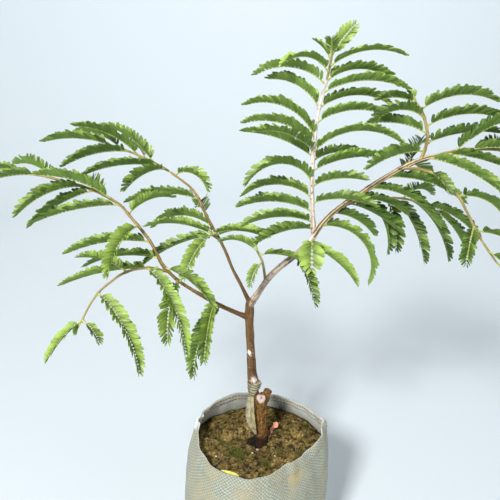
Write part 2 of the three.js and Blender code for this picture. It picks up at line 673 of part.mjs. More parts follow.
// Wood above the graft
const WOOD = [
  [TRUNK, 8], [RIGHT_LIMB, 8], [UPRIGHT, 6], [RIGHT_BRANCH, 6], [LEFT_B, 6], [LEFT_C, 6],
];
const joined = (grow) => WOOD.map(([stem, sides]) => stemSolid(stem, sides, grow))
  .reduce((whole, stem) => whole.add(stem));
const wood = joined(0).subtract(rootstockHole);
const woodClear = joined(GAP);
addPiece("scion_wood", geometryOf(wood), COLOURS.bark, 0.85);
settle(wood);

// Graft tape and its loose end
function tapeSolid() {
  const across = vector(TAPE_END.across).normalize();
  const end = bladeGeometry(TAPE_END.path.map(vector), TAPE_END.half, across, TAPE_END.thick);
  const sleeve = stemSolid(TAPE, TAPE_SIDES).subtract(woodClear).subtract(rootstockHole);
  return sleeve.add(solidOf(end));
}
addPiece("graft_tape", geometryOf(tapeSolid()), COLOURS.tape, 0.5);

// Leaves that lie on the soil: each point stands on the soil's own surface
const soilRay = new THREE.Raycaster();
function onSoil(x, y, lift) {
  soilRay.set(new THREE.Vector3(x, y, 2 * SOIL_LEVEL), new THREE.Vector3(0, 0, -1));
  return new THREE.Vector3(x, y, soilRay.intersectObject(soilPiece)[0].point.z + lift);
}
function addFallen(name, leaf, colour) {
  const first = leaf.path[0];
  const last = leaf.path.at(-1);
  const across = new THREE.Vector3(last[1] - first[1], first[0] - last[0], 0).normalize();
  const seat = GAP + leaf.thick / 2 + FALLEN_SPARE;
  const points = leaf.path.map(([x, y], index) => onSoil(x, y, seat + leaf.lift[index]));
  addPiece(name, bladeGeometry(points, leaf.half, across, leaf.thick), colour, 0.7);
}
addFallen("fallen_leaflet", FALLEN_LEAFLET, COLOURS.yellow_leaf);
addFallen("dry_leaf", DRY_LEAF, COLOURS.dry_leaf);

// Leafy twigs and tips first, then the fronds along the wood
addLeafyTwig("mid_twig", MID_TWIG, MID_TWIG_FRONDS);
addLeafyTwig("left_twig", LEFT_TWIG, LEFT_TWIG_FRONDS);
addLeafyTwig("left_spur", LEFT_SPUR, LEFT_SPUR_FRONDS);
addLeafyTwig("right_up_twig", RIGHT_UP, RIGHT_UP_FRONDS);
addLeafyTwig("right_low_twig", RIGHT_LOW, RIGHT_LOW_FRONDS);
addLeafyTwig("inner_twig", INNER_TWIG, INNER_TWIG_FRONDS);
addLeafyTwig("upright_tip", UPRIGHT_TIP, UPRIGHT_TIP_FRONDS);
addLeafyTwig("right_tip", RIGHT_TIP, RIGHT_TIP_FRONDS);
addLeafyTwig("left_b_tip", LEFT_B_TIP, LEFT_B_TIP_FRONDS);
addLeafyTwig("left_c_tip", LEFT_C_TIP, LEFT_C_TIP_FRONDS);
addFronds("upright_frond", UPRIGHT, UPRIGHT_FRONDS);
addFronds("foot_frond", RIGHT_LIMB, SHOOT_FOOT_FRONDS);
addFronds("right_frond", RIGHT_BRANCH, RIGHT_BRANCH_FRONDS);
addFronds("left_b_frond", LEFT_B, LEFT_B_FRONDS);
addFronds("left_c_frond", LEFT_C, LEFT_C_FRONDS);

export default tree;
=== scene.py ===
"""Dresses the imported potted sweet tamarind: fine leaflets, bark, graft tape, woven bag and soil."""

import math
from collections import namedtuple
from functools import partial

import bpy
import numpy as np
from bpy.props import FloatProperty, FloatVectorProperty, IntProperty, PointerProperty
from bpy.types import Operator, Panel, PropertyGroup
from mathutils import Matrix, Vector
from mathutils.kdtree import KDTree


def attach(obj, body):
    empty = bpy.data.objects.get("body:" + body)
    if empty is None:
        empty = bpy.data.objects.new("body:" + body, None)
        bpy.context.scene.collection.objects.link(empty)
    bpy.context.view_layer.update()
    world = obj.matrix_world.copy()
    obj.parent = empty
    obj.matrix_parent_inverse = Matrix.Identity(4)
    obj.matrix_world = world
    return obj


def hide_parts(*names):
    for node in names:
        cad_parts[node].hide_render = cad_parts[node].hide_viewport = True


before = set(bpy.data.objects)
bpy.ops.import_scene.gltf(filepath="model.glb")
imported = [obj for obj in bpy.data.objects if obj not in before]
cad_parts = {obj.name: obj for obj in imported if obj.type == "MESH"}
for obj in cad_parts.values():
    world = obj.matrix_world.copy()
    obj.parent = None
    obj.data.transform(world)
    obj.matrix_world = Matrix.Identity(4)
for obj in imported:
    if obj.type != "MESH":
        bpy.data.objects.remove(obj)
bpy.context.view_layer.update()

bl_info = {
    "name": "Potted Sweet Tamarind",
    "version": (1, 0, 0),
    "blender": (4, 5, 0),
    "location": "View3D > Sidebar > Tamarind",
    "description": "Builds the leaves, bark, bag and soil of a young grafted tamarind tree",
    "category": "Object",
}

# Shapes are worked out in millimetres, in the frame of the solids, and become metres in new_mesh
MM = 0.001
SEED = 4021
BODY = "root"

Stem = namedtuple("Stem", "path radii")
Frond = namedtuple("Frond", "at heading climb bend long roll", defaults=(0,))
Patch = namedtuple("Patch", "points quads tris values finish uv", defaults=(0, None))
NO_QUADS = np.empty((0, 4), int)
NO_TRIS = np.empty((0, 3), int)

# Bag: the same wall as its solid
FLOOR_RADIUS = 91
FOOT_RADIUS = 96
FOOT_HEIGHT = 5
BULGE = 134
LEAN = 13
SAG = 1.6
SAG_FOLDS = 5
MOUTH_REACH = [100, 95, 93, 95, 98, 101, 99, 98, 96, 92, 77, 82]
MOUTH_HEIGHT = [222, 221, 219, 219, 223, 217, 213, 201, 200, 201, 203, 206]
BAG_SIDES = 300
BAG_LEVELS = 84
RIGHT_CORNER = math.radians(3)
LEFT_CORNER = math.radians(168)

# The bag's corners: each has a crest between two grooves, and crumples the edge. Widths are turns
CREST_DEEP, CREST_WIDE = 4.2, 0.045
GROOVE_AT, GROOVE_WIDE, GROOVE_DEEP = 0.13, 0.07, 0.45
CRUMPLE_TALL, CRUMPLE_WIDE = 4.4, 0.16
CRUMPLE_WAVES, CRUMPLE_WAVE_TALL = 46, 2.6

# Its soft folds: how often each wave goes round it, and the spans and heights of its broad bulges
FOLD_WAVES = (4, 7, 9, 13, 17, 23)
BROAD_BULGE = (42, 1.2)
SMALL_BULGE_SPAN = 13

# A stain on the bag: its turn, its height and its width
STAIN = (math.radians(306), 186, 13)

# The hem's rings: shares of its height from its foot up, and how far they stand out of the wall. Inside
# it goes down from the edge, and its raw edge stands off the wall
HEM_OUTSIDE = [
    (0.03, 0.7), (0.1, 1.15), (0.25, 1.1), (0.45, 1), (0.6, 1), (0.75, 1.05), (0.88, 1.2),
    (0.96, 1), (1, 0.35),
]
HEM_INSIDE = [
    (1, 0.5), (0.95, 0), (0.8, -0.3), (0.5, -0.5), (0.3, -0.7), (0.2, -0.8), (0.17, -0.2), (0.18, 0.5),
]

# Stitches: their depths below the bag's edge, and the turns from one to the next and along one
STITCH_ROWS = (5.5, 12.5)
STITCH_PITCH = 0.06
STITCH_SPAN = 0.042

# Soil: the same lumps as its solid, with the hollow moved 4 mm back and filled a little by crumbs. A lump
# is its height and its two spans, the hollow its place, depth and width
SOIL_LEVEL = 187
SOIL_TILT = 2
BROAD_LUMP = (1.4, 17, 15)
SMALL_LUMP = (0.7, 7, 9)
HOLLOW = (-2, -3, 9, 9)
SOIL_AXIS = np.array([3, 6])
STEM_CLEAR = 11.5
SMALLEST_CRUMB = 0.55
SOIL_SIDES = 240
SOIL_RINGS = 84

# Rootstock and the wood above the graft: the paths of their solids. The stub is moved by up to 2 mm, and
# a cheek that the solids lack carries the cut face
ROOTSTOCK = Stem(
    [[4, 7, 120], [3, 6, 165], [3, 6, 194], [1.4, 6, 228], [1.3, 6, 250], [1.5, 6, 258]],
    [5, 8.5, 9.8, 9.2, 9.3, 8.6],
)
CHEEK = Stem([[1.6, 4, 248], [1.2, 1, 262], [0.9, -0.4, 278]], [7.4, 7.8, 7])
STUB = Stem([[1.5, 6.5, 246], [5.6, 8, 262], [12.8, 10.5, 279.5]], [7.5, 7.2, 6.2])
TRUNK = Stem(
    [[-3.5, 4, 256], [-9.7, 4, 283], [-11.3, 4, 301], [-13.6, 5, 326], [-15.1, 6, 360],
     [-16.6, 6, 393], [-16.6, 6, 414], [-15.9, 6, 434]],
    [6.2, 6.8, 8, 6.6, 6.1, 6.2, 6.6, 5.6],
)
RIGHT_LIMB = Stem(
    [[-15.9, 6, 426], [-7, 2, 441], [4, -4, 462], [15, -8, 479], [31, -14, 496],
     [43, -18, 507], [55, -22, 520], [65, -22, 530], [71, -20, 541]],
    [5, 5.2, 4.8, 4.8, 4.6, 4.8, 4.6, 4.6, 4],
)
UPRIGHT = Stem(
    [[70.6, -20, 538], [68, -18, 567], [66.4, -16, 594], [66, -14, 627], [67, -12, 652],
     [69, -10, 678], [72, -8, 702.5], [77, -6, 724.5], [81, -5, 739]],
    [3.6, 3, 2.7, 2.6, 2.4, 2.2, 2, 1.8, 1.6],
)
RIGHT_BRANCH = Stem(
    [[69, -20, 536], [83, -28, 561], [101, -36, 582], [124, -44, 601], [147, -50, 619],
     [169.5, -54, 634.5], [192.5, -56, 646], [216, -56, 652]],
    [4, 3.8, 3.6, 3.5, 3.4, 3.2, 3, 2.5],
)
LEFT_B = Stem(
    [[-16, 6, 428], [-30.5, 14, 456.5], [-42, 20, 478], [-51, 26, 500], [-61, 30, 520],
     [-72, 34, 539], [-84, 38, 563], [-92, 42, 580], [-102, 46, 592], [-117, 50, 603],
     [-131, 52, 613]],
    [3.6, 3, 2.8, 2.8, 2.7, 2.6, 2.4, 2.3, 2.2, 2, 1.9],
)
LEFT_C = Stem(
    [[-16.6, 6, 404], [-38, -4, 418.5], [-56, -14, 432], [-72, -22, 445], [-86, -30, 458],
     [-99, -36, 469], [-115, -44, 485], [-131, -48, 506.5], [-137, -48, 520], [-145, -46, 536],
     [-158, -44, 555], [-169, -40, 567], [-182, -36, 583]],
    [4.2, 3.6, 3.4, 3.4, 3, 2.8, 2.6, 2.6, 2.4, 2.4, 2.3, 2.2, 2.1],
)
UPRIGHT_TIP = Stem([[81.1, -4.9, 739.6], [84.5, -4, 756], [86, -3, 768]], [1.5, 1.4, 1.2])
RIGHT_TIP = Stem(
    [[217, -56, 652.2], [241, -54, 657], [267, -50, 658.5], [293, -46, 657], [322, -40, 652],
     [345, -36, 645]],
    [2.4, 2.2, 2, 1.8, 1.5, 1.2],
)
RIGHT_UP = Stem(
    [[193, -56, 646], [199, -50, 657], [204, -40, 671], [204, -30, 686], [201, -18, 701],
     [195, -8, 712]],
    [2.2, 2.2, 2, 1.9, 1.8, 1.4],
)
RIGHT_LOW = Stem(
    [[172, -54, 636], [197, -66, 635], [218, -78, 625], [232, -88, 608], [241, -94, 592],
     [253, -98, 571], [265, -100, 552], [284, -100, 528]],
    [2, 1.9, 1.8, 1.7, 1.6, 1.5, 1.4, 1.2],
)
INNER_TWIG = Stem(
    [[97, -33, 578], [120, -15, 583], [148, 5, 583], [177, 22, 581], [205, 36, 577],
     [231, 48, 568], [259, 58, 554]],
    [2.2, 2, 1.9, 1.8, 1.6, 1.4, 1.2],
)
LEFT_B_TIP = Stem(
    [[-131.8, 52.1, 613.5], [-152, 54, 625], [-176, 56, 636], [-200, 56, 646], [-215, 55, 651]],
    [1.8, 1.7, 1.5, 1.3, 1.2],
)
LEFT_C_TIP = Stem(
    [[-182.8, -35.8, 583.5], [-197, -32, 592], [-214, -28, 600], [-235, -24, 607],
     [-265, -18, 614], [-295, -14, 620], [-318, -11, 623]],
    [2, 2, 1.9, 1.8, 1.6, 1.4, 1.2],
)
LEFT_TWIG = Stem(
    [[-122, -46, 495], [-144, -56, 505], [-163, -66, 507], [-179, -76, 504], [-190, -84, 498],
     [-202.5, -92, 489], [-213, -98, 476.5], [-221, -102, 463], [-226, -104, 453]],
    [1.9, 1.8, 1.7, 1.6, 1.5, 1.4, 1.4, 1.3, 1.2],
)
MID_TWIG = Stem([[6, -4, 464], [3.6, -14, 487], [0.5, -22, 503], [-6.5, -30, 521]], [2, 1.8, 1.6, 1.3])
LEFT_SPUR = Stem([[-59, 30, 517], [-66, 24, 524], [-70, 18, 530]], [2.2, 2, 1.7])

# Fronds on each stem: the point of the stem's path, heading, climb, bend, length and roll
UPRIGHT_FRONDS = [
    Frond(0.35, 215, 15, 35, 95), Frond(0.65, 200, 20, 45, 102), Frond(1.15, 185, 30, 50, 102),
    Frond(1.85, 170, 40, 80, 100), Frond(2.5, 200, 60, 115, 108), Frond(3.65, 165, 35, 35, 100),
    Frond(3.9, 205, 25, 45, 110), Frond(4.25, 185, 50, 65, 100), Frond(4.6, 180, 72, 85, 108),
    Frond(6.1, 160, 60, 65, 80), Frond(7.6, 185, 50, 75, 95),
    Frond(1.6, -30, 20, 40, 90), Frond(2.35, -40, 30, 35, 80), Frond(2.95, 0, 30, 40, 98),
    Frond(3.45, 25, 20, 45, 102), Frond(3.9, -10, 50, 85, 122), Frond(5.35, -5, 35, 60, 95),
    Frond(6.1, 5, 35, 65, 100), Frond(6.95, -5, 30, 55, 108), Frond(7.9, 8, 32, 80, 105),
]
UPRIGHT_TIP_FRONDS = [
    Frond(0.5, 200, 55, 95, 72), Frond(0.95, 0, 38, 60, 98), Frond(1.5, 150, 70, 40, 36),
    Frond(1.85, 10, 62, 20, 50, 65), Frond(1.95, 260, 60, 50, 34),
]
SHOOT_FOOT_FRONDS = [
    Frond(7.4, 265, -10, 55, 52), Frond(6.6, -25, -10, 45, 85), Frond(5.2, -60, -25, 45, 75),
]
RIGHT_BRANCH_FRONDS = [
    Frond(0.7, -10, 12, 120, 120), Frond(1.6, 25, -10, 40, 80), Frond(2.6, 15, -10, 45, 85),
    Frond(3.4, -18, 8, 65, 102), Frond(4.3, -10, 10, 45, 105), Frond(5, 20, -10, 70, 105),
    Frond(5.4, 60, 35, 60, 95), Frond(6.4, -20, -6, 35, 108),
]
RIGHT_TIP_FRONDS = [
    Frond(0.25, -15, -5, 30, 100), Frond(0.7, 15, 30, 35, 105), Frond(1.4, -15, 12, 35, 105),
    Frond(2, 40, 20, 45, 100), Frond(2.8, -45, 5, 60, 95), Frond(3.5, 35, 25, 45, 90),
    Frond(4.2, -25, 10, 45, 85), Frond(4.95, 15, 10, 40, 75),
]
RIGHT_UP_FRONDS = [
    Frond(0.9, 200, 5, 35, 80), Frond(1.6, 15, 20, 30, 105), Frond(2.3, 160, 30, 45, 75),
    Frond(2.9, 0, 30, 55, 108), Frond(3.5, 200, 35, 75, 78), Frond(4.2, 5, 35, 60, 105),
    Frond(4.8, 190, 30, 50, 55),
]
RIGHT_LOW_FRONDS = [
    Frond(1.2, -70, -5, 45, 45), Frond(3, 10, 5, 75, 95), Frond(4.9, 240, -20, 70, 52),
    Frond(5.2, 0, 0, 65, 90), Frond(6.4, -50, -20, 50, 80),
]
INNER_TWIG_FRONDS = [
    Frond(0.9, -25, -10, 30, 75), Frond(1.9, -60, -15, 70, 80), Frond(3, -75, -45, 35, 75),
    Frond(3.4, -55, -30, 45, 100), Frond(3.9, 45, 25, 60, 90), Frond(4.5, -50, -20, 55, 100),
    Frond(5.3, -25, -5, 45, 90), Frond(5.9, -20, -30, 40, 80),
]
LEFT_B_FRONDS = [
    Frond(4.9, 190, 30, 75, 110), Frond(5.6, 110, 25, 70, 85), Frond(6.7, 180, 20, 45, 105),
    Frond(9.5, -20, 35, 110, 62),
]
LEFT_B_TIP_FRONDS = [
    Frond(0.6, 205, 15, 35, 110), Frond(1.1, 160, 38, 45, 110), Frond(1.6, 110, 35, 50, 90),
    Frond(2.5, 215, 10, 35, 95), Frond(3, 150, 35, 55, 95), Frond(3.95, 180, 20, 35, 95),
    Frond(0.3, 225, 10, 45, 85), Frond(2, 185, 25, 45, 100),
]
LEFT_C_FRONDS = [
    Frond(2.1, 238, -15, 70, 110), Frond(2.6, 262, -15, 60, 95), Frond(5.9, 260, -15, 75, 90),
    Frond(6.8, -20, -5, 50, 85), Frond(7.7, 175, 10, 40, 110), Frond(9.1, 190, 2, 35, 108),
    Frond(10.3, 250, 0, 60, 90), Frond(11.4, 60, 30, 50, 85),
]
LEFT_C_TIP_FRONDS = [
    Frond(0.2, 195, 3, 25, 112), Frond(1.6, 120, 30, 50, 90), Frond(3, 225, 10, 50, 95),
    Frond(4.3, 150, 30, 45, 85), Frond(5, 205, 10, 40, 90), Frond(5.95, 180, 15, 30, 80),
    Frond(1, 170, 18, 40, 95), Frond(2.3, 190, 12, 30, 95),
]
LEFT_TWIG_FRONDS = [
    Frond(1.1, 195, 0, 25, 125), Frond(1.25, 312, -15, 70, 130), Frond(2.6, 150, 20, 45, 70),
    Frond(5.3, 320, -20, 60, 118), Frond(7.9, 212, -30, 25, 66), Frond(7.95, 330, -25, 40, 38),
]
LEFT_SPUR_FRONDS = [
    Frond(1.2, 10, 20, 45, 85), Frond(1.6, 200, 0, 35, 105), Frond(1.8, 165, 25, 45, 105),
    Frond(1.95, 225, -5, 50, 90), Frond(1.9, -30, 5, 40, 90),
]
MID_TWIG_FRONDS = [
    Frond(1.9, 235, -10, 70, 42), Frond(2.6, 0, 15, 45, 65), Frond(2.9, 140, 30, 60, 70),
]

# Each woody stem with its fronds, the name that their nodes share, and how young they are. The right
# branch's low value also darkens its fronds as painted shade
FROND_STEMS = [
    ("upright_frond", UPRIGHT, UPRIGHT_FRONDS, 0.35),
    ("foot_frond", RIGHT_LIMB, SHOOT_FOOT_FRONDS, 0.45),
    ("right_frond", RIGHT_BRANCH, RIGHT_BRANCH_FRONDS, 0.05),
    ("left_b_frond", LEFT_B, LEFT_B_FRONDS, 0.2),
    ("left_c_frond", LEFT_C, LEFT_C_FRONDS, 0.4),
]
# The right-hand twigs' low values darken their fronds as painted shade of the crowded crown
LEAFY_TWIGS = [
    ("mid_twig", MID_TWIG, MID_TWIG_FRONDS, 0.3),
    ("left_twig", LEFT_TWIG, LEFT_TWIG_FRONDS, 0.6),
    ("left_spur", LEFT_SPUR, LEFT_SPUR_FRONDS, 0.4),
    ("right_up_twig", RIGHT_UP, RIGHT_UP_FRONDS, 0.2),
    ("right_low_twig", RIGHT_LOW, RIGHT_LOW_FRONDS, 0.0),
    ("inner_twig", INNER_TWIG, INNER_TWIG_FRONDS, 0.0),
    ("upright_tip", UPRIGHT_TIP, UPRIGHT_TIP_FRONDS, 0.9),
    ("right_tip", RIGHT_TIP, RIGHT_TIP_FRONDS, 0.15),
    ("left_b_tip", LEFT_B_TIP, LEFT_B_TIP_FRONDS, 0.3),
    ("left_c_tip", LEFT_C_TIP, LEFT_C_TIP_FRONDS, 0.4),
]

# Fronds that differ from the rest: how far spread flat, the leaflets' size, and how much fresher.
# foot_frond_03's value below 0 darkens it as painted shade
LOOKS = {
    "foot_frond_01": (1, 1.1, -0.1), "foot_frond_02": (0.2, 1, 0.35), "foot_frond_03": (0, 0.85, -0.5),
    "left_twig": (0.2, 0.9, 0.25), "left_c_frond_01": (0.2, 1.05, 0), "left_c_frond_02": (0.2, 0.95, 0),
    "left_c_frond_03": (0.2, 1, -0.1), "upright_tip": (0.6, 0.9, 0.2), "left_spur": (0.3, 0.9, 0.5),
    "mid_twig": (0.3, 0.8, 0.3), "right_low_twig": (0.3, 0.9, 0), "right_frond_01": (0.2, 1, 0.5),
}

# A frond's plan in the solids, and the ways in which it may have been bent clear of others
FIRST_PAIR = 8
LAST_PAIR = 3
SOLID_END_HALF = 2.6
SOLID_RIB_HALF = 0.8
BEND_HEADING = 6
BEND_CLIMB = 5
BEND_SIDES = [(1, 0), (-1, 0), (0, 1), (0, -1), (1, 1), (-1, 1), (1, -1), (-1, -1)]
BEND_TRIES = [(0, 0)] + [(r * a, r * b) for r in range(1, 8) for a, b in BEND_SIDES]

# Leaflets: the shortest against the longest, the stretch of a sine wave that their lengths follow, the
# grid of points on one and the powers of its rounded outline
SHORTEST = 0.66
SWELL_FROM, SWELL_OVER = 0.14, 0.74
LEAFLET_ROWS = np.array([0.012, 0.07, 0.24, 0.5, 0.76, 0.93, 0.99])
LEAFLET_COLUMNS = np.linspace(-1, 1, 5)
OUTLINE_LONG, OUTLINE_WIDE = 3.2, 2.4

# How leaflets differ by chance: shares of their length, and degrees of their lean, fold and roll
LONG_CHANCE = 0.05
LEAN_CHANCE = math.radians(3.5)
FOLD_CHANCE = math.radians(6)
ROLL_CHANCE = math.radians(5)
CLOSING_CHANCE = math.radians(5)

# How far leaflets lean forward at a frond's end, open out on a flat frond and roll, and a blade's form:
# its forward sweep and its arch against its length, its cupping and its wave
END_LEAN = math.radians(26)
OPENED_LEAN = math.radians(12)
BLADE_ROLL = math.radians(8)
BLADE_SWEEP = 0.07
BLADE_ARCH, ARCH_CHANCE = 0.07, 0.03
BLADE_CUP = 0.2
BLADE_WAVE = 0.22
RIB_SIDES = 6
TWIG_SIDES = 8

# The wood above the graft: its stems, how thick each is drawn against its solid, what smoothing takes
# off, and how far apart the stems' grains lie, so that none repeats another's
SCION = [TRUNK, RIGHT_LIMB, UPRIGHT, RIGHT_BRANCH, LEFT_B, LEFT_C]
DRAWN_THICK = [1, 0.9, 0.92, 0.84, 0.8, 0.86]
SMOOTHED_OFF = 0.1
STEM_APART = 400
SCION_SIDES = 20
ROOTSTOCK_SIDES = 24

# How far wood and twigs swell where a frond grows from them, wood where a branch leaves it, and over
# what length
WOOD_JOINT = (0.45, 3.2)
TWIG_JOINT = (0.35, 2.6)
FORK_TALL, FORK_LONG = 1.1, 11

# Pores in the bark and flutes along the right branch: how many there are and how tall
PORES = 620
PORE_TALL = 0.22
FLUTES = 5
FLUTE_TALL = 0.32

# The face where the stub was cut, with the darker heart of its wood
CUT_CENTRE = (0.9, -5.4, 274.5)
CUT_WAY = (-0.05, -0.87, 0.47)
CUT_RADIUS = 8
CUT_HEART = (1.4, -6, 276)

# Dark knots and pale scars on the wood: place and radius
KNOTS = [(-13, -2, 321, 5), (-9, 0, 338, 3), (39, -22, 502, 3.4), (-15, 0, 371, 3), (-12, -2, 434, 3)]
SCARS = [(-10.4, -4, 305, 5.2), (67, -24, 536, 7), (-17, 0, 350, 3.5)]

# Graft tape and what lies on the soil: the paths of their solids, moved by up to 7 mm to look right
TAPE = Stem(
    [[-5, 3.5, 263], [-7.2, 4, 271], [-8.8, 4, 279], [-9.6, 4, 288], [-9.2, 4, 300]],
    [10.4, 9.7, 9.4, 9.6, 10.9],
)
TAPE_END = Stem(
    [[-15, -4.6, 277], [-15.6, -7.2, 262], [-15.6, -8.5, 246], [-12.4, -9, 229], [-6.8, -8.5, 212]],
    [4.5, 6, 6.8, 5.6, 1.2],
)
TAPE_END_ACROSS = (1, 0.1, 0)
TAPE_SIDES = 56

# How far the tape's laps stand out, how far it is drawn in and how tall its wrinkles are
TAPE_LAP = 1.6
TAPE_SUNK = 0.9
TAPE_WRINKLE = 0.45

FALLEN_LEAFLET = Stem(
    [[-59, -63, 1], [-52, -66, 1.4], [-45, -69.5, 1.6], [-38, -72, 1.4], [-32, -75, 1]],
    [0.8, 2.6, 3, 2.6, 0.8],
)
DRY_LEAF = Stem(
    [[13, 7, 0], [16, 16, 1.5], [18, 22, 4], [23, 28, 8], [28, 33, 11], [32, 37, 11]],
    [0.5, 0.5, 0.8, 6, 6, 1.5],
)

# Moss patches by place and radius, dead twigs by place, heading and length, pale grains by place, and
# the pebble by place and radius
MOSS_PLACES = [(-39, -22, 14), (61, -29, 6), (8, -46, 6), (-62, 6, 6), (30, -60, 7)]
DEAD_TWIGS = [(-71, -51, 30, 26), (-52, -36, -25, 34), (-20, -62, 60, 18), (55, -10, 100, 22)]
PALE_SPECKS = [(-85, 11), (-56, 11), (-68, -30), (-12, -22), (22, -30), (48, 8), (70, 22), (-30, 50)]
PEBBLE = (-4.9, -8.5, 3.2)

# Studio, in metres and degrees: the cove's flat disc, reach, sweep and top, and the camera
FLOOR_DISC = 0.5
COVE_REACH = 4.2
COVE_SWEEP = 1.6
COVE_TOP = 4.5
COVE_SIDES = 64
CAMERA_PLACE = (-0.0159, -0.715, 0.744)
CAMERA_DOWN = 18
CAMERA_ANGLE = 50


def linear(colour):
    """The linear red, green and blue of an sRGB hex value."""
    shares = [((colour >> shift) & 255) / 255 for shift in (16, 8, 0)]
    return [c / 12.92 if c <= 0.04045 else ((c + 0.055) / 1.055) ** 2.4 for c in shares]


def colour_setting(name, description, colour):
    """A colour that a user can change, from its sRGB hex value."""
    return FloatVectorProperty(
        name=name, description=description, subtype="COLOR", size=3, min=0, max=1,
        default=linear(colour),
    )


def length_setting(name, description, millimetres):
    """A length that a user can change."""
    return FloatProperty(
        name=name, description=description, unit="LENGTH", subtype="DISTANCE", min=0,
        precision=5, default=millimetres * MM,
    )


def angle_setting(name, description, degrees):
    """An angle that a user can change."""
    return FloatProperty(
        name=name, description=description, subtype="ANGLE", default=math.radians(degrees),
    )


def power_setting(name, description, watts):
    """A light's power that a user can change."""
    return FloatProperty(
        name=name, description=description, unit="POWER", subtype="POWER", min=0, default=watts,
    )


class LeafSettings(PropertyGroup):
    leaflet_long: length_setting("Leaflet length", "Length of the longest leaflets", 17)
    leaflet_wide: length_setting("Leaflet width", "Width of a leaflet of the full length", 5.2)
    leaflet_pitch: length_setting("Leaflet spacing", "Distance between pairs along a frond", 4.4)
    leaflet_thick: length_setting("Leaflet thickness", "Thickness of the blade at its midrib", 0.3)
    lean: angle_setting("Lean", "Angle between a leaflet and the frond's rib", 53)
    fold: angle_setting("Fold", "How far the leaflets fold up from flat", 50)
    mature: colour_setting("Mature", "Upper face of a full-grown leaflet", 0x1E420A)
    young: colour_setting("Young", "Upper face of a young leaflet", 0xB0CC62)
    below: colour_setting("Underside", "Lower face of a leaflet", 0x7C9C4A)
    glow: colour_setting("Glow", "Light that comes through a leaflet", 0x86BC2A)
    vein: colour_setting("Vein", "Midrib and side veins", 0xB4CC66)
    stalk: colour_setting("Stalk", "Rib and stalk of a frond", 0x9A9A4E)


class WoodSettings(PropertyGroup):
    brown: colour_setting("Trunk bark", "Bark of the trunk and lower limbs", 0x6E502D)
    tan: colour_setting("Branch bark", "Bark of the long branches", 0x9E8850)
    pale: colour_setting("Shoot bark", "Bark of the upright shoot", 0xE6D5CA)
    green: colour_setting("Twig bark", "Skin of the soft leafy twigs", 0x9C9060)
    dark: colour_setting("Pores", "Pores, cracks and scars", 0x49301F)
    rootstock: colour_setting("Rootstock bark", "Rough bark below the graft", 0x6C4A20)
    cut: colour_setting("Cut face", "Face of the cut-back stub", 0xE4CFC6)
    tape: colour_setting("Graft tape", "Film wound over the graft", 0xC6C0A0)
    tape_wide: length_setting("Tape width", "Width of one turn of the graft tape", 4.6)


class BagSettings(PropertyGroup):
    # The lower tape's darker colour is painted shade of the tape over it
    light: colour_setting("Tape, upper", "Woven tape where it passes over", 0xB2B6A6)
    shade: colour_setting("Tape, lower", "Woven tape where it passes under", 0x868A7C)
    dusty: colour_setting("Dust", "Soil dust caught in the cloth", 0xB0A074)
    tape_wide: length_setting("Tape width", "Width of one woven tape", 2.6)
    cloth_thick: length_setting("Cloth thickness", "Thickness of the woven cloth", 1.1)
    hem_tall: length_setting("Hem height", "Height of the folded hem", 15)
    fold_deep: length_setting("Fold depth", "Depth of the soft folds near the mouth", 1.7)


class SoilSettings(PropertyGroup):
    damp: colour_setting("Damp soil", "Soil between the crumbs", 0x3E3019)
    crumb: colour_setting("Crumbs", "Drier soil on the crumbs", 0x766232)
    sandy: colour_setting("Sand", "Palest grains", 0xA38B58)
    algae: colour_setting("Algae", "Green film on the soil", 0x42480F)
    moss: colour_setting("Moss", "Moss cushions", 0x646A1E)
    crumbs: IntProperty(name="Crumbs", description="Number of loose crumbs", default=2600, min=0)
    largest: length_setting("Largest crumb", "Radius of the largest crumbs", 2.4)


class StudioSettings(PropertyGroup):
    floor: colour_setting("Floor", "Colour of the studio floor and wall", 0xD6DDE1)
    sky: colour_setting("Surround", "Colour of the light from all round", 0xEEF3F8)
    surround: FloatProperty(
        name="Surround strength", description="Even light from all round", default=0.1, min=0,
    )
    key: power_setting("Key light", "Power of the key light at the upper left front", 118)
    fill: power_setting("Fill light", "Power of the fill light at the right", 12)
    wall: power_setting("Wall light", "Power of the light on the wall behind", 80)


def unit(vectors):
    return vectors / np.linalg.norm(vectors, axis=-1, keepdims=True)


def turns(count):
    """Even turns round a circle, from 0."""
    return np.arange(count) * 2 * math.pi / count


def turn_between(turn, other):
    """The turn from one direction to another, at most half a circle either way."""
    return np.angle(np.exp(1j * (turn - other)))


def round_points(reach, turn, height):
    """Points by their reach from an upright axis, their turn round it and their height."""
    return np.stack(np.broadcast_arrays(reach * np.cos(turn), reach * np.sin(turn), height), -1)


def run_of(line):
    """How far along a line each of its points is."""
    return np.concatenate([[0], np.cumsum(np.linalg.norm(np.diff(line, axis=0), axis=1))])


def along_path(path, at):
    """Points of a stem's smooth line at places counted in points of its path."""
    path = np.asarray(path, float)
    last = len(path) - 1
    ends = np.vstack([2 * path[0] - path[1], path, 2 * path[-1] - path[-2]])
    at = np.clip(np.atleast_1d(np.asarray(at, float)), 0, last)
    index = np.minimum(np.floor(at).astype(int), last - 1)
    share = (at - index)[:, None]
    before, here, after, beyond = (ends[index + step] for step in range(4))
    enter, leave = 0.5 * (after - before), 0.5 * (beyond - here)
    bend = 3 * (after - here) - 2 * enter - leave
    settle = enter + leave - 2 * (after - here)
    return here + share * (enter + share * (bend + share * settle))


def stem_line(stem, spacing):
    """Evenly spaced points of a stem, its radius there and their places in path points."""
    last = len(stem.path) - 1
    fine = np.linspace(0, last, 40 * last + 1)
    run = run_of(along_path(stem.path, fine))
    count = max(3, int(round(run[-1] / spacing)) + 1)
    at = np.interp(np.linspace(0, run[-1], count), run, fine)
    return along_path(stem.path, at), np.interp(at, range(last + 1), stem.radii), at


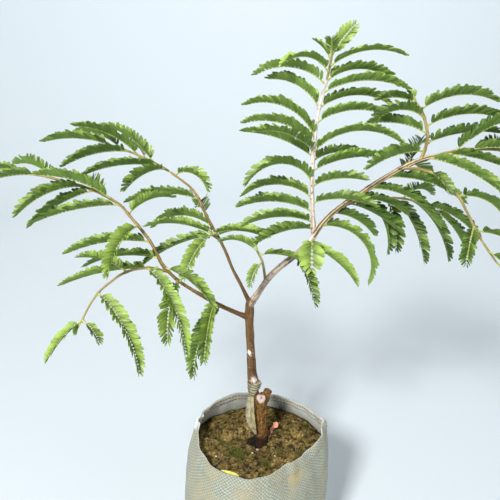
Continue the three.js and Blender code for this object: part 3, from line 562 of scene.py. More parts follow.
def jointed(stem, fronds, spacing, tall, wide):
    """Evenly spaced points of a stem, its radius there, swollen where each frond grows from it, and how
    far along the stem they are."""
    line, radii, at = stem_line(stem, spacing)
    pace = np.linalg.norm(np.diff(np.asarray(stem.path, float), axis=0), axis=1).mean()
    for frond in fronds:
        radii = radii + tall * np.exp(-(((at - frond.at) * pace / wide) ** 2))
    return line, radii, at * pace


def swell(points, size, seed, waves=9):
    """Smooth random relief from about -1 to 1 with lumps of about the given size."""
    draw = np.random.default_rng(seed)
    ways = draw.normal(size=(waves, points.shape[-1]))
    ways *= (math.pi / size * draw.uniform(0.6, 1.5, waves) / np.linalg.norm(ways, axis=1))[:, None]
    phase = draw.uniform(0, 2 * math.pi, waves)
    return np.sin(points @ ways.T + phase).sum(-1) * (1.3 / math.sqrt(waves))


def across_line(line):
    """Two directions across a line at each of its points, which don't twist along it."""
    along = unit(np.gradient(line, axis=0))
    across = np.empty_like(line)
    side = np.array([0.0, 1.0, 0.0])
    for place, ahead in enumerate(along):
        side = unit(side - ahead * (side @ ahead))
        across[place] = side
    return across, np.cross(along, across)


def skin(rings, first, last, finish=0, **values):
    """A closed skin over rings of points, with a point at each end."""
    count, sides = rings.shape[:2]
    points = np.vstack([rings.reshape(-1, 3), first, last])
    low = np.arange(count - 1)[:, None] * sides
    side = np.arange(sides)
    following = (side + 1) % sides
    quads = np.stack([low + side, low + following, low + sides + following, low + sides + side], -1)
    ends = np.full(sides, count * sides)
    top = (count - 1) * sides
    tris = np.vstack([
        np.stack([ends, following, side], -1),
        np.stack([ends + 1, top + side, top + following], -1),
    ])
    return Patch(points, quads.reshape(-1, 4), tris, values, finish)


def tube(line, radii, sides, finish=0):
    """A closed round tube. Its grain is each point's place as if the tube were straight, in metres."""
    across, beside = across_line(line)
    turn = turns(sides)
    radii = np.broadcast_to(np.asarray(radii, float)[:, None], (len(line), sides))
    spoke = across[:, None] * np.cos(turn)[:, None] + beside[:, None] * np.sin(turn)[:, None]
    run = run_of(line)
    grain = round_points(radii, turn, run[:, None]).reshape(-1, 3)
    grain = np.vstack([grain, [[0, 0, 0], [0, 0, run[-1]]]]) * MM
    return skin(line[:, None] + spoke * radii[..., None], line[:1], line[-1:], finish, grain=grain)


def slabs(middle, offset, uv=None, **values):
    """Closed thin sheets from grids of points, shaped (sheets, rows, columns, 3), and half thicknesses."""
    sheets, rows, columns = middle.shape[:3]
    each = rows * columns
    points = np.concatenate([middle + offset, middle - offset], axis=1).reshape(-1, 3)
    cell = (np.arange(rows - 1)[:, None] * columns + np.arange(columns - 1)).reshape(-1, 1)
    top = cell + [0, columns, columns + 1, 1]
    bottom = each + cell + [0, 1, columns + 1, columns]
    row, column = np.arange(rows), np.arange(columns)
    edge = np.concatenate([
        row[:-1] * columns, (rows - 1) * columns + column[:-1],
        row[:0:-1] * columns + columns - 1, column[:0:-1],
    ])
    following = np.roll(edge, -1)
    rim = np.stack([edge, edge + each, following + each, following], -1)
    quads = np.vstack([top, bottom, rim])
    first = np.arange(sheets)[:, None, None] * 2 * each
    spread = {
        key: np.repeat(np.asarray(value, float), 2 * each) for key, value in values.items()
    }
    spread["under"] = np.tile(np.repeat([0.0, 1.0], each), sheets)
    both = None if uv is None else np.tile(uv.reshape(-1, 2), (2 * sheets, 1))
    return Patch(points, (first + quads).reshape(-1, 4), NO_TRIS, spread, uv=both)


def new_mesh(name, patches):
    """One mesh in metres from patches, with their finishes, map and values."""
    first = np.cumsum([0] + [len(patch.points) for patch in patches])
    points = np.vstack([patch.points for patch in patches]) * MM
    corners, sizes, looks = [], [], []
    for patch, start in zip(patches, first):
        for faces in (patch.quads, patch.tris):
            corners.append((faces + start).ravel())
            sizes.append(np.full(len(faces), faces.shape[1]))
            looks.append(np.full(len(faces), patch.finish))
    corners, sizes, looks = map(np.concatenate, (corners, sizes, looks))
    mesh = bpy.data.meshes.new(name)
    mesh.vertices.add(len(points))
    mesh.vertices.foreach_set("co", points.ravel())
    mesh.loops.add(len(corners))
    mesh.loops.foreach_set("vertex_index", corners.astype(np.int32))
    mesh.polygons.add(len(sizes))
    mesh.polygons.foreach_set("loop_start", np.concatenate([[0], np.cumsum(sizes)[:-1]]).astype(np.int32))
    mesh.polygons.foreach_set("material_index", looks.astype(np.int32))
    mesh.update(calc_edges=True)
    if mesh.validate():
        raise RuntimeError(f"{name} has faces that Blender had to mend")
    for key in sorted({key for patch in patches for key in patch.values}):
        parts = []
        wide = next(np.ndim(patch.values[key]) for patch in patches if key in patch.values) == 2
        for patch in patches:
            blank = np.zeros((len(patch.points), 3) if wide else len(patch.points))
            parts.append(np.asarray(patch.values.get(key, blank), float))
        made = mesh.attributes.new(key, "FLOAT_VECTOR" if wide else "FLOAT", "POINT")
        made.data.foreach_set("vector" if wide else "value", np.concatenate(parts).ravel())
    if any(patch.uv is not None for patch in patches):
        flat = np.vstack([
            np.zeros((len(patch.points), 2)) if patch.uv is None else patch.uv for patch in patches
        ])
        mesh.uv_layers.new(name="UVMap").data.foreach_set("uv", flat[corners].ravel())
    return mesh


def new_piece(name, patches, finishes, replaced=(), sharp=40):
    """A piece of the part in its finishes, smooth but for edges sharper than the given angle."""
    mesh = new_mesh(name, patches)
    mesh.shade_smooth()
    mesh.set_sharp_from_angle(angle=math.radians(sharp))
    for made in finishes:
        mesh.materials.append(made)
    piece = bpy.data.objects.new(name, mesh)
    bpy.context.scene.collection.objects.link(piece)
    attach(piece, BODY)
    if replaced:
        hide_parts(*replaced)
    return piece


def per(millimetres):
    """The scale of a pattern whose features are this far apart."""
    return 1 / (millimetres * MM)


def opaque(colour):
    """The value of a colour socket, from a colour setting or an sRGB hex value."""
    return (*(linear(colour) if isinstance(colour, int) else colour), 1)


def add_node(tree, kind, inputs=None, output=None, stops=(), **settings):
    """Adds a shader node with its settings, its sockets' values or links, and a ramp's stops. It returns
    the named output, or else the first one in use."""
    made = tree.nodes.new("ShaderNode" + kind)
    for name, value in settings.items():
        setattr(made, name, value)
    for key, value in (inputs or {}).items():
        socket = made.inputs[key]
        if isinstance(value, bpy.types.NodeSocket):
            tree.links.new(value, socket)
        else:
            socket.default_value = opaque(value) if socket.type == "RGBA" else value
    for index, (place, colour) in enumerate(stops):
        ramp = made.color_ramp.elements
        stop = ramp[index] if index < len(ramp) else ramp.new(place)
        stop.position = place
        stop.color = opaque(colour)
    return made.outputs[output] if output else next((o for o in made.outputs if o.enabled), None)


def new_finish(name):
    """A material without nodes, and add_node for its tree."""
    made = bpy.data.materials.new(name)
    made.use_nodes = True
    made.node_tree.nodes.clear()
    return made, partial(add_node, made.node_tree)


def patchy(node, where, size, detail, between, gives):
    """A value in random patches of a size in millimetres. It goes from one given value to the other while
    the noise goes between two levels."""
    noise = node("TexNoise", {"Vector": where, "Scale": per(size), "Detail": detail})
    return node("MapRange", {0: noise, 1: between[0], 2: between[1], 3: gives[0], 4: gives[1]})


def surfaced(made, colour, rough, relief, strength, deep, shine=0.5, ior=1.5, pressed=False,
             through=None, share=0):
    """Ends a material in a surface whose relief, in millimetres, stands out or is pressed in, and which
    lets a share of the light through in the given colour."""
    node = partial(add_node, made.node_tree)
    bump = node("Bump", {"Height": relief, "Strength": strength, "Distance": deep * MM}, invert=pressed)
    shader = node("BsdfPrincipled", {
        "Base Color": colour, "Roughness": rough, "Specular IOR Level": shine, "IOR": ior, "Normal": bump,
    })
    if share:
        glow = node("BsdfTranslucent", {"Color": through})
        shader = node("MixShader", {0: share, 1: shader, 2: glow})
    node("OutputMaterial", {"Surface": shader})
    return made


FINISHES = {}


def finish(build):
    """The material that a function builds, built once."""
    if build not in FINISHES:
        FINISHES[build] = build()
    return FINISHES[build]


def leaf_blade():
    """Living leaflet: a soft waxy skin over pressed-in veins. It gives the eye a satin upper face, a paler
    dull underside and a lime glow where light comes through, with painted shade towards each leaflet's
    foot."""
    leaf = bpy.context.scene.tamarind_leaves
    made, node = new_finish("Living leaf blade, waxy skin over pressed-in veins")
    across = node("SeparateXYZ", {0: node("UVMap")})
    along = across.node.outputs["Y"]
    tone, young, under = (
        node("Attribute", output="Fac", attribute_name=key) for key in ("tone", "young", "under")
    )
    off_middle = node("Math", {0: across, 1: 0.5}, operation="SUBTRACT")
    aside = node("Math", {0: off_middle}, operation="ABSOLUTE")
    midrib = node("MapRange", {0: aside, 1: 0.015, 2: 0.07, 3: 1.0, 4: 0.0})
    # Eleven side veins a leaflet, each running forward from the midrib
    forward = node("Math", {0: aside, 1: -3.2, 2: 0.0}, operation="MULTIPLY_ADD")
    rank = node("Math", {0: along, 1: 11.0, 2: forward}, operation="MULTIPLY_ADD")
    wave = node("Math", {0: rank, 1: 1.0}, operation="PINGPONG")
    veins = node("MapRange", {0: wave, 1: 0.0, 2: 0.16, 3: 1.0, 4: 0.0})
    # A leaflet's age goes by its frond's, with its own chance and a mottle of about 9 mm
    where = node("TexCoord", output="Object")
    mottle = node("TexNoise", {"Vector": where, "Scale": per(9), "Detail": 3.0})
    age = node("Math", {0: young, 1: 0.75}, operation="MULTIPLY")
    age = node("Math", {0: tone, 1: 0.42, 2: age}, operation="MULTIPLY_ADD")
    age = node("Math", {0: mottle, 1: 0.45, 2: age}, operation="MULTIPLY_ADD")
    age = node("Math", {0: age, 1: 0.35}, operation="SUBTRACT", use_clamp=True)
    upper = node("Mix", {0: age, 6: leaf.mature, 7: leaf.young}, data_type="RGBA")
    # Painted shade: a leaflet is darker towards its foot, where the fold by the rib lies in shade, and a
    # little lighter at its tip
    blade_foot_shade = node("MapRange", {0: along, 1: 0.05, 2: 0.65, 3: 0.42, 4: 1.12})
    upper = node("VectorMath", {0: upper, "Scale": blade_foot_shade}, operation="SCALE")
    faded = node("Math", {0: veins, 1: 0.22}, operation="MULTIPLY")
    shown = node("Math", {0: midrib, 1: 0.6, 2: faded}, operation="MULTIPLY_ADD", use_clamp=True)
    lower = node("Math", {0: under, 1: 0.7}, operation="MULTIPLY")
    veined = node("Mix", {0: shown, 6: upper, 7: leaf.vein}, data_type="RGBA")
    colour = node("Mix", {0: lower, 6: veined, 7: leaf.below}, data_type="RGBA")
    press = node("Math", {0: midrib, 1: 1.0, 2: faded}, operation="MULTIPLY_ADD")
    rough = node("MapRange", {0: under, 3: 0.38, 4: 0.7})
    glow = node("Mix", {0: 0.55, 6: colour, 7: leaf.glow}, data_type="RGBA")
    return surfaced(made, colour, rough, press, 0.5, 0.2, shine=0.45, ior=1.42, pressed=True,
                    through=glow, share=0.26)


def leaf_stalk():
    """Rib of a frond: a green stalk, channelled and slightly ribbed, that dries to tan at its foot."""
    leaf = bpy.context.scene.tamarind_leaves
    wood = bpy.context.scene.tamarind_wood
    made, node = new_finish("Green leaf stalk, finely ribbed")
    grain = node("Attribute", output="Vector", attribute_name="grain")
    foot = node("Attribute", output="Fac", attribute_name="foot")
    drawn = node("Mapping", {"Vector": grain, "Scale": (1.0, 1.0, 0.08)})
    lines = node("TexNoise", {"Vector": drawn, "Scale": per(0.8), "Detail": 2.0})
    dried = node("Mix", {0: foot, 6: leaf.stalk, 7: wood.tan}, data_type="RGBA")
    colour = node("Mix", {0: lines, 6: dried, 7: leaf.vein}, data_type="RGBA")
    return surfaced(made, colour, 0.5, lines, 0.4, 0.2)


def young_bark():
    """Bark of the graft's own wood, one or two years grown: thin, drawn lengthwise into pale and dark
    streaks, with dark corky pores. Brown on the trunk, tan on the branches, pinkish pale on the shoot. The
    right branch's ridges carry painted highlight and its grooves painted shade."""
    wood = bpy.context.scene.tamarind_wood
    made, node = new_finish("Young tamarind bark, grown smooth with corky pores")
    grain = node("Attribute", output="Vector", attribute_name="grain")
    brown, pale, green, pore = (
        node("Attribute", output="Fac", attribute_name=key) for key in ("brown", "pale", "green", "pore")
    )
    drawn = node("Mapping", {"Vector": grain, "Scale": (1.0, 1.0, 0.09)})
    streaks = node("TexNoise", {"Vector": drawn, "Scale": per(2.2), "Detail": 4.0})
    fine = node("TexNoise", {"Vector": grain, "Scale": per(1.3), "Detail": 4.0})
    colour = wood.tan
    for share, coat in ((brown, wood.brown), (pale, wood.pale), (green, wood.green)):
        colour = node("Mix", {0: share, 6: colour, 7: coat}, data_type="RGBA")
    lit = node("MapRange", {0: streaks, 1: 0.36, 2: 0.64, 3: 0.55, 4: 1.3})
    colour = node("VectorMath", {0: colour, "Scale": lit}, operation="SCALE")
    spots = patchy(node, grain, 11, 3.0, (0.56, 0.7), (0.0, 0.45))
    cracks = node("MapRange", {0: fine, 1: 0.58, 2: 0.72, 3: 0.0, 4: 0.5})
    marks = node("Math", {0: spots, 1: cracks}, operation="MAXIMUM")
    # The shoot's pale skin carries fewer marks than the old bark
    clean = node("MapRange", {0: pale, 3: 1.0, 4: 0.3})
    marks = node("Math", {0: marks, 1: clean}, operation="MULTIPLY")
    marks = node("Math", {0: pore, 1: 0.8, 2: marks}, operation="MULTIPLY_ADD", use_clamp=True)
    colour = node("Mix", {0: marks, 6: colour, 7: wood.dark}, data_type="RGBA")
    relief = node("Math", {0: fine, 1: 0.5, 2: streaks}, operation="MULTIPLY_ADD")
    return surfaced(made, colour, 0.72, relief, 0.6, 0.5, shine=0.35)


def old_bark():
    """Rootstock bark, several years grown: thick, cracked lengthwise into corky ridges with dark cracks,
    and pale bare wood where the stub was cut. It is darker near the soil as painted shade."""
    wood = bpy.context.scene.tamarind_wood
    made, node = new_finish("Old tamarind bark, grown rough and cracked")
    grain = node("Attribute", output="Vector", attribute_name="grain")
    cut, crack, heart = (
        node("Attribute", output="Fac", attribute_name=key) for key in ("cut", "crack", "heart")
    )
    drawn = node("Mapping", {"Vector": grain, "Scale": (1.0, 1.0, 0.35)})
    ridges = node("TexNoise", {"Vector": drawn, "Scale": per(2.6), "Detail": 6.0, "Roughness": 0.62})
    bark = node("ValToRGB", {0: ridges}, stops=[
        (0.3, wood.dark), (0.44, wood.rootstock), (0.6, 0x8E6834), (0.74, 0xB09058),
    ])
    rings = node("TexNoise", {"Vector": grain, "Scale": per(1.6), "Detail": 3.0})
    ringed = node("Mix", {0: rings, 6: wood.cut, 7: 0xA48E7C}, data_type="RGBA")
    bare = node("Mix", {0: heart, 6: ringed, 7: 0x86707A}, data_type="RGBA")
    # Dark pits in the bark, which the bare wood has none of
    pitted = patchy(node, grain, 2.6, 3.0, (0.52, 0.6), (0.0, 0.8))
    colour = bark
    for share, coat in ((crack, 0x2A1B10), (pitted, wood.dark), (cut, bare)):
        colour = node("Mix", {0: share, 6: colour, 7: coat}, data_type="RGBA")
    return surfaced(made, colour, 0.88, ridges, 0.8, 1.2, shine=0.25)


def graft_film():
    """Graft tape: thin polythene film, stretched as it was wound. It gives a milky pale skin with fine
    creases that catch the light, stained by the bark and the weather, with painted shade along the ledge of
    each turn and along a line on its loose end."""
    wood = bpy.context.scene.tamarind_wood
    made, node = new_finish("Polythene film, stretched and wound")
    grain = node("Attribute", output="Vector", attribute_name="grain")
    ledge, worn = (node("Attribute", output="Fac", attribute_name=key) for key in ("ledge", "worn"))
    drawn = node("Mapping", {"Vector": grain, "Scale": (0.35, 0.35, 1.0)})
    creases = node("TexNoise", {"Vector": drawn, "Scale": per(2.0), "Detail": 5.0})
    stained = patchy(node, node("TexCoord", output="Object"), 7, 4.0, (0.42, 0.66), (0.0, 0.75))
    # The ledge value is painted shade: dark along each turn's ledge and along a line on the loose end
    colour = wood.tape
    for share, coat in ((worn, 0xB8AA78), (stained, 0x94805C), (ledge, 0x2E2A1C)):
        colour = node("Mix", {0: share, 6: colour, 7: coat}, data_type="RGBA")
    return surfaced(made, colour, 0.34, creases, 0.7, 0.8, through=colour, share=0.22)


def woven_cloth():
    """Polypropylene tape cloth, plain woven from flat tapes. It gives a fine basket of pale crowns and grey
    gaps, a slight shine on each tape, and patches of dust."""
    bag = bpy.context.scene.tamarind_bag
    made, node = new_finish("Polypropylene tape cloth, plain woven")
    rise, dirt = (node("Attribute", output="Fac", attribute_name=key) for key in ("rise", "dirt"))
    where = node("TexCoord", output="Object")
    east = node("SeparateXYZ", {0: where})
    angle = node("Math", {0: east.node.outputs["Y"], 1: east}, operation="ARCTAN2")
    # An even number of upright tapes goes round the bag, so that the weave closes on itself. They stand
    # further apart than the level ones, and both wander a little. All are wider than real ones, to show
    tapes = 2 * round(math.pi * (FOOT_RADIUS + BULGE) / 2 * MM / (1.25 * bag.tape_wide))
    drift = patchy(node, where, 20, 2.0, (0.0, 1.0), (-3.4, 3.4))
    upright = node("Math", {0: angle, 1: tapes / 2.0, 2: drift}, operation="MULTIPLY_ADD")
    level = node("Math", {0: rise, 1: math.pi / bag.tape_wide, 2: drift}, operation="MULTIPLY_ADD")
    warp, weft = (node("Math", {0: tape}, operation="SINE") for tape in (upright, level))
    cross = node("Math", {0: warp, 1: weft}, operation="MULTIPLY")
    crown = node("Math", {0: cross}, operation="ABSOLUTE")
    # Painted shade: where a tape passes under the other it takes the darker colour
    over = node("MapRange", {0: cross, 1: -0.25, 2: 0.3})
    worn = node("TexNoise", {"Vector": where, "Scale": per(4), "Detail": 5.0})
    shown = node("Math", {0: over, 1: worn}, operation="MULTIPLY")
    shown = node("MapRange", {0: shown, 1: 0.05, 2: 0.55})
    # Painted shade: the gaps between the tapes are darkened
    gap_shade = node("MapRange", {0: crown, 1: 0.0, 2: 0.26, 3: 0.55, 4: 0.0})
    # Painted light: inside the bag the painted shade of the gaps is weaker, so that the shaded inner wall
    # looks lighter
    inside_lightening = node("MapRange", {0: dirt, 1: -0.4, 2: 0.0, 3: 0.35, 4: 1.0})
    gap_shade = node("Math", {0: gap_shade, 1: inside_lightening}, operation="MULTIPLY")
    rubbed = patchy(node, where, 15, 5.0, (0.42, 0.6), (0.1, 1.3))
    gap_shade = node("Math", {0: gap_shade, 1: rubbed}, operation="MULTIPLY", use_clamp=True)
    # Painted light: values below 0, inside the bag and at its left corner, mix the cloth towards near-white
    clean = node("MapRange", {0: dirt, 1: -0.4, 2: -0.05, 3: 0.75, 4: 0.0})
    dusty = patchy(node, where, 28, 5.0, (0.44, 0.68), (0.0, 0.55))
    dusty = node("Math", {0: dusty, 1: dirt}, operation="ADD", use_clamp=True)
    colour = bag.shade
    for share, coat in ((shown, bag.light), (gap_shade, 0x6F6B58), (clean, 0xF4F6F2), (dusty, bag.dusty)):
        colour = node("Mix", {0: share, 6: colour, 7: coat}, data_type="RGBA")
    return surfaced(made, colour, 0.46, crown, 0.85, 0.5, ior=1.49)


def potting_soil():
    """Potting soil: damp crumbs of earth and fibre, with a thin green film of algae. It gives dark gaps,
    dull brown crumbs and scattered pale grains, with little shine."""
    soil = bpy.context.scene.tamarind_soil
    made, node = new_finish("Potting soil, damp and crumbled")
    where = node("TexCoord", output="Object")
    high, mossy = (node("Attribute", output="Fac", attribute_name=key) for key in ("high", "mossy"))
    coarse = node("TexNoise", {
        "Vector": where, "Scale": per(5), "Detail": 6.0, "Roughness": 0.68, "Distortion": 1.3,
    })
    grit = node("TexVoronoi", {"Vector": where, "Scale": per(2.6)})
    # The high value carries the painted shade along the bag's wall and by the rootstock's foot
    mixed = node("Math", {0: coarse, 1: 0.55, 2: high}, operation="MULTIPLY_ADD")
    colour = node("ValToRGB", {0: mixed}, stops=[
        (0.34, 0x1A1208), (0.5, soil.damp), (0.64, soil.crumb), (0.84, soil.sandy),
    ])
    # Broad damp and dry patches
    dampness = patchy(node, where, 22, 3.0, (0.38, 0.62), (0.6, 1.2))
    colour = node("VectorMath", {0: colour, "Scale": dampness}, operation="SCALE")
    specks = node("MapRange", {0: grit, 1: 0.1, 2: 0.2, 3: 0.8, 4: 0.0})
    rare = node("MapRange", {0: coarse, 1: 0.55, 2: 0.6})
    specks = node("Math", {0: specks, 1: rare}, operation="MULTIPLY")
    film = patchy(node, where, 19, 5.0, (0.5, 0.7), (0.0, 0.5))
    green = node("Math", {0: film, 1: mossy}, operation="ADD", use_clamp=True)
    specked = node("Mix", {0: specks, 6: colour, 7: 0xB6A47C}, data_type="RGBA")
    colour = node("Mix", {0: green, 6: specked, 7: soil.algae}, data_type="RGBA")
    relief = node("Math", {0: grit, 1: -0.4, 2: coarse}, operation="MULTIPLY_ADD")
    return surfaced(made, colour, 0.92, relief, 0.9, 2, shine=0.25)


def plain_natural(name, dark, light, size, rough):
    """A dull surface: two shades in grains of a size in millimetres, with their own relief."""
    made, node = new_finish(name)
    where = node("TexCoord", output="Object")
    grain = node("TexNoise", {"Vector": where, "Scale": per(size), "Detail": 5.0})
    share = node("MapRange", {0: grain, 1: 0.35, 2: 0.65})
    colour = node("Mix", {0: share, 6: dark, 7: light}, data_type="RGBA")
    return surfaced(made, colour, rough, grain, 0.6, 0.3 * size)


def sewing_thread():
    """Sewing thread: twisted polyester, dull yellow-brown against the cloth."""
    return plain_natural("Polyester sewing thread, twisted", 0x6E5424, 0x9C7C3A, 0.8, 0.7)


def moss_cushion():
    """Moss: soft green cushions in two shades."""
    moss = bpy.context.scene.tamarind_soil.moss
    return plain_natural("Moss, living cushions", 0x3E4410, moss, 1.6, 0.9)


def dead_wood():
    """Dead twigs, weathered grey-brown and dull."""
    return plain_natural("Dead twig, weathered", 0x5A4431, 0x9C8262, 1.5, 0.85)


def pale_grain():
    """Perlite and lime grains: white, puffed and chalky."""
    return plain_natural("Perlite grain, puffed", 0xC9C4B2, 0xF2EFE6, 0.8, 0.8)


def river_pebble():
    """A pebble worn smooth, pale and pinkish."""
    return plain_natural("Pebble, worn smooth", 0xA88E78, 0xD8C8B8, 2.5, 0.55)


def fallen_blade():
    """Fallen leaflet: turned yellow, its skin still soft."""
    return plain_natural("Fallen leaflet, yellowed", 0xD2CE4C, 0xF2EE8C, 3, 0.5)


def dried_blade():
    """Dry leaf: curled as it dried, reddish and papery."""
    return plain_natural("Dry leaf, curled", 0xDA7E60, 0xFFC4AC, 4, 0.6)


def studio_cove():
    """Studio cove: floor and wall in one curve, painted matt. It shows soft shadows but no edge."""
    made, node = new_finish("Studio cove, painted matt")
    shade = bpy.context.scene.tamarind_studio.floor
    shader = node("BsdfPrincipled", {"Base Color": shade, "Roughness": 1.0, "Specular IOR Level": 0.0})
    node("OutputMaterial", {"Surface": shader})
    return made


def frond_frames(foot, frond, distance):
    """Places along a frond's rib, with the forward, upward and sideways directions there."""
    distance = np.atleast_1d(np.asarray(distance, float))
    start, heading, roll = (math.radians(v) for v in (frond.climb, frond.heading, frond.roll))
    curl = math.radians(frond.bend) / frond.long
    slope = start - curl * distance
    out = (math.sin(start) - np.sin(slope)) / curl
    rise = (np.cos(slope) - math.cos(start)) / curl
    level = np.array([math.cos(heading), math.sin(heading), 0])
    up = np.array([0, 0, 1])
    forward = np.cos(slope)[:, None] * level + np.sin(slope)[:, None] * up
    upward = np.cos(slope)[:, None] * up - np.sin(slope)[:, None] * level
    sideways = np.cross(forward, upward)
    return (
        foot + out[:, None] * level + rise[:, None] * up,
        forward,
        upward * math.cos(roll) + sideways * math.sin(roll),
        sideways * math.cos(roll) - upward * math.sin(roll),
    )


def search_tree(places):
    """A tree that finds the nearest of some places."""
    tree = KDTree(len(places))
    for index, place in enumerate(places):
        tree.insert(place, index)
    tree.balance()
    return tree


def as_packed(node, stem, frond):
    """The frond's foot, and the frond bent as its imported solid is: the try whose end the solid shares."""
    tree = search_tree([vertex.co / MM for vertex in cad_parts[node].data.vertices])
    foot = along_path(stem.path, frond.at)[0]
    found = []
    for turn, rise in BEND_TRIES:
        bent = frond._replace(
            heading=frond.heading + turn * BEND_HEADING, climb=frond.climb + rise * BEND_CLIMB,
        )
        place, _, upward, sideways = (v[0] for v in frond_frames(foot, bent, frond.long))
        corners = [
            place + side * SOLID_END_HALF * sideways + face * SOLID_RIB_HALF * upward
            for side in (1, -1) for face in (1, -1)
        ]
        found.append((max(tree.find(Vector(corner))[2] for corner in corners), bent))
    miss, bent = min(found, key=lambda pair: pair[0])
    if miss > 1:
        raise RuntimeError(f"{node}: no bend of the frond at {frond.at} meets its solid")
    return foot, bent


def frond_patches(foot, frond, inside, young, order, opened=0.0, size=1.0):
    """A frond's rib and leaflets. It starts inside its stem, at the given distance from its foot. Its
    leaflets have the given share of their size and spread flat as it is opened from 0 to 1."""
    leaf = bpy.context.scene.tamarind_leaves
    draw = np.random.default_rng([SEED, order])
    leafy = frond.long - FIRST_PAIR - LAST_PAIR
    # A small frond bears smaller leaflets, closer together
    growth = max(min(1, 0.35 + frond.long / 115), opened) * size
    pairs = max(3, round(leafy * MM / (leaf.leaflet_pitch * growth)))
    share = np.linspace(0, 1, pairs)
    place, forward, upward, sideways = frond_frames(foot, frond, FIRST_PAIR + leafy * share)
    # The leaflets are longest in the middle, and the last few are shorter still
    swelling = np.sin(math.pi * (SWELL_FROM + SWELL_OVER * share))
    full = growth * leaf.leaflet_long / MM * (SHORTEST + (1 - SHORTEST) * swelling)
    full = full * (1 - 0.35 * share ** 6)
    closing = draw.normal(0, CLOSING_CHANCE)
    blades = []
    for side in (1, -1):
        jitter = draw.normal(0, 1, (5, pairs))
        long = full * (1 + LONG_CHANCE * jitter[0])
        lean = leaf.lean + OPENED_LEAN * opened - END_LEAN * share ** 5 + LEAN_CHANCE * jitter[1]
        fold = (leaf.fold + closing) * (1 - 0.8 * opened) + FOLD_CHANCE * jitter[2]
        roll = BLADE_ROLL + ROLL_CHANCE * jitter[3]
        out = (
            forward * np.cos(lean)[:, None]
            + sideways * (side * np.sin(lean) * np.cos(fold))[:, None]
            + upward * (np.sin(lean) * np.sin(fold))[:, None]
        )
        onward = unit(forward - out * (forward * out).sum(1)[:, None])
        face = np.cross(out, side * onward)
        ahead = onward * np.cos(roll)[:, None] - face * np.sin(roll)[:, None]
        face = np.cross(out, side * ahead)
        root = place + sideways * side * 0.5
        broad = np.full(pairs, 1 + 0.3 * opened)
        blades.append((root, out, ahead, face, long, np.full(pairs, side), jitter[4], broad))
    return [leaflets(blades, young + 0.16 * draw.normal(), draw), rib(foot, frond, inside)]


def leaflets(blades, young, draw):
    """All leaflets of a frond: oblong blades with round ends, arched and a little waved."""
    leaf = bpy.context.scene.tamarind_leaves
    root, out, ahead, face, long, side, droop, broad = (
        np.concatenate(sides)[:, None, None] for sides in zip(*blades)
    )
    count = len(root)
    along = LEAFLET_ROWS[:, None]
    across = LEAFLET_COLUMNS
    # Round at both ends, and nearly straight between them
    outline = (1 - np.abs(2 * along - 1) ** OUTLINE_LONG) ** (1 / OUTLINE_WIDE)
    wide = across * (leaf.leaflet_wide / leaf.leaflet_long / 2) * broad * long * outline
    phase = draw.uniform(0, 2 * math.pi, count)[:, None, None]
    reach = 0.4 + along * long + 0 * wide
    onward = side * wide + BLADE_SWEEP * along ** 2 * long
    lift = (
        BLADE_CUP * np.abs(wide) - (BLADE_ARCH + ARCH_CHANCE * droop) * along ** 2 * long
        + BLADE_WAVE * across * np.sin(5 * along + phase)
    )
    middle = root + out * reach[..., None] + ahead * onward[..., None] + face * lift[..., None]
    thick = leaf.leaflet_thick / MM / 2 * (1 - 0.55 * np.abs(across)) + 0 * wide
    uv = np.stack(np.broadcast_arrays(across / 2 + 0.5, along), -1)
    tone = draw.uniform(0, 1, count) ** 1.6 * 1.5
    return slabs(middle, face * thick[..., None], uv, tone=tone, young=np.full(count, young))


def rib(foot, frond, inside):
    """A frond's stalk and rib, from a swollen foot in the stem to a thin end past the last leaflets."""
    end = frond.long - LAST_PAIR
    distance = np.append(np.arange(inside, end - 1, 3.5), end + 0.6)
    line = frond_frames(foot, frond, distance)[0]
    swollen = np.exp(-(((distance - inside) / 5.5) ** 2))
    radii = 0.9 - 0.55 * distance / frond.long + 0.75 * swollen
    radii[-1] = 0.15
    made = tube(line, radii, RIB_SIDES, finish=1)
    made.values["foot"] = np.append(np.repeat(swollen, RIB_SIDES), [1, 0])
    return made


def stem_at(stem, at):
    """A stem's radius and direction at a place counted in points of its path."""
    last = len(stem.path) - 1
    ends = along_path(stem.path, [max(at - 0.01, 0), min(at + 0.01, last)])
    return float(np.interp(at, range(last + 1), stem.radii)), unit(ends[1] - ends[0])


def bud(foot, outward, ahead, radius):
    """The bud on a stem above a frond's foot."""
    base = foot + outward * (0.88 * radius - 0.4) + ahead * 1.6
    tip = base + outward * 1.1 + ahead * 2.1
    line = base + (tip - base) * np.linspace(0, 1, 5)[:, None]
    made = tube(line, [0.5, 0.85, 0.8, 0.5, 0.12], 6, finish=1)
    made.values["foot"] = np.full(len(made.points), 0.7)
    return made


def grown_frond(node, stem, frond, young, order):
    """A frond's patches, bent as packed and rooted in its stem, with the bud above its foot."""
    foot, bent = as_packed(node, stem, frond)
    radius, ahead = stem_at(stem, frond.at)
    forward = frond_frames(foot, bent, 0)[1][0]
    sine = max(math.sqrt(max(0, 1 - float(forward @ ahead) ** 2)), 0.45)
    opened, size, freshness_and_shade = LOOKS.get(node, (0, 1, 0))
    patches = frond_patches(foot, bent, 0.45 * radius / sine, young + freshness_and_shade, order, opened, size)
    outward = unit(forward - ahead * (forward @ ahead))
    return [*patches, bud(foot, outward, ahead, radius)]


def twig_patch(stem, fronds):
    """A soft twig, a little swollen where each frond grows from it and greener to its tip."""
    line, radii, _ = jointed(stem, fronds, 2.5, *TWIG_JOINT)
    radii[-1] = 0.4
    made = tube(line, radii, TWIG_SIDES, finish=2)
    green = np.linspace(0.15, 0.9, len(line))
    made.values["green"] = np.append(np.repeat(green, TWIG_SIDES), [0.15, 0.9])
    return made


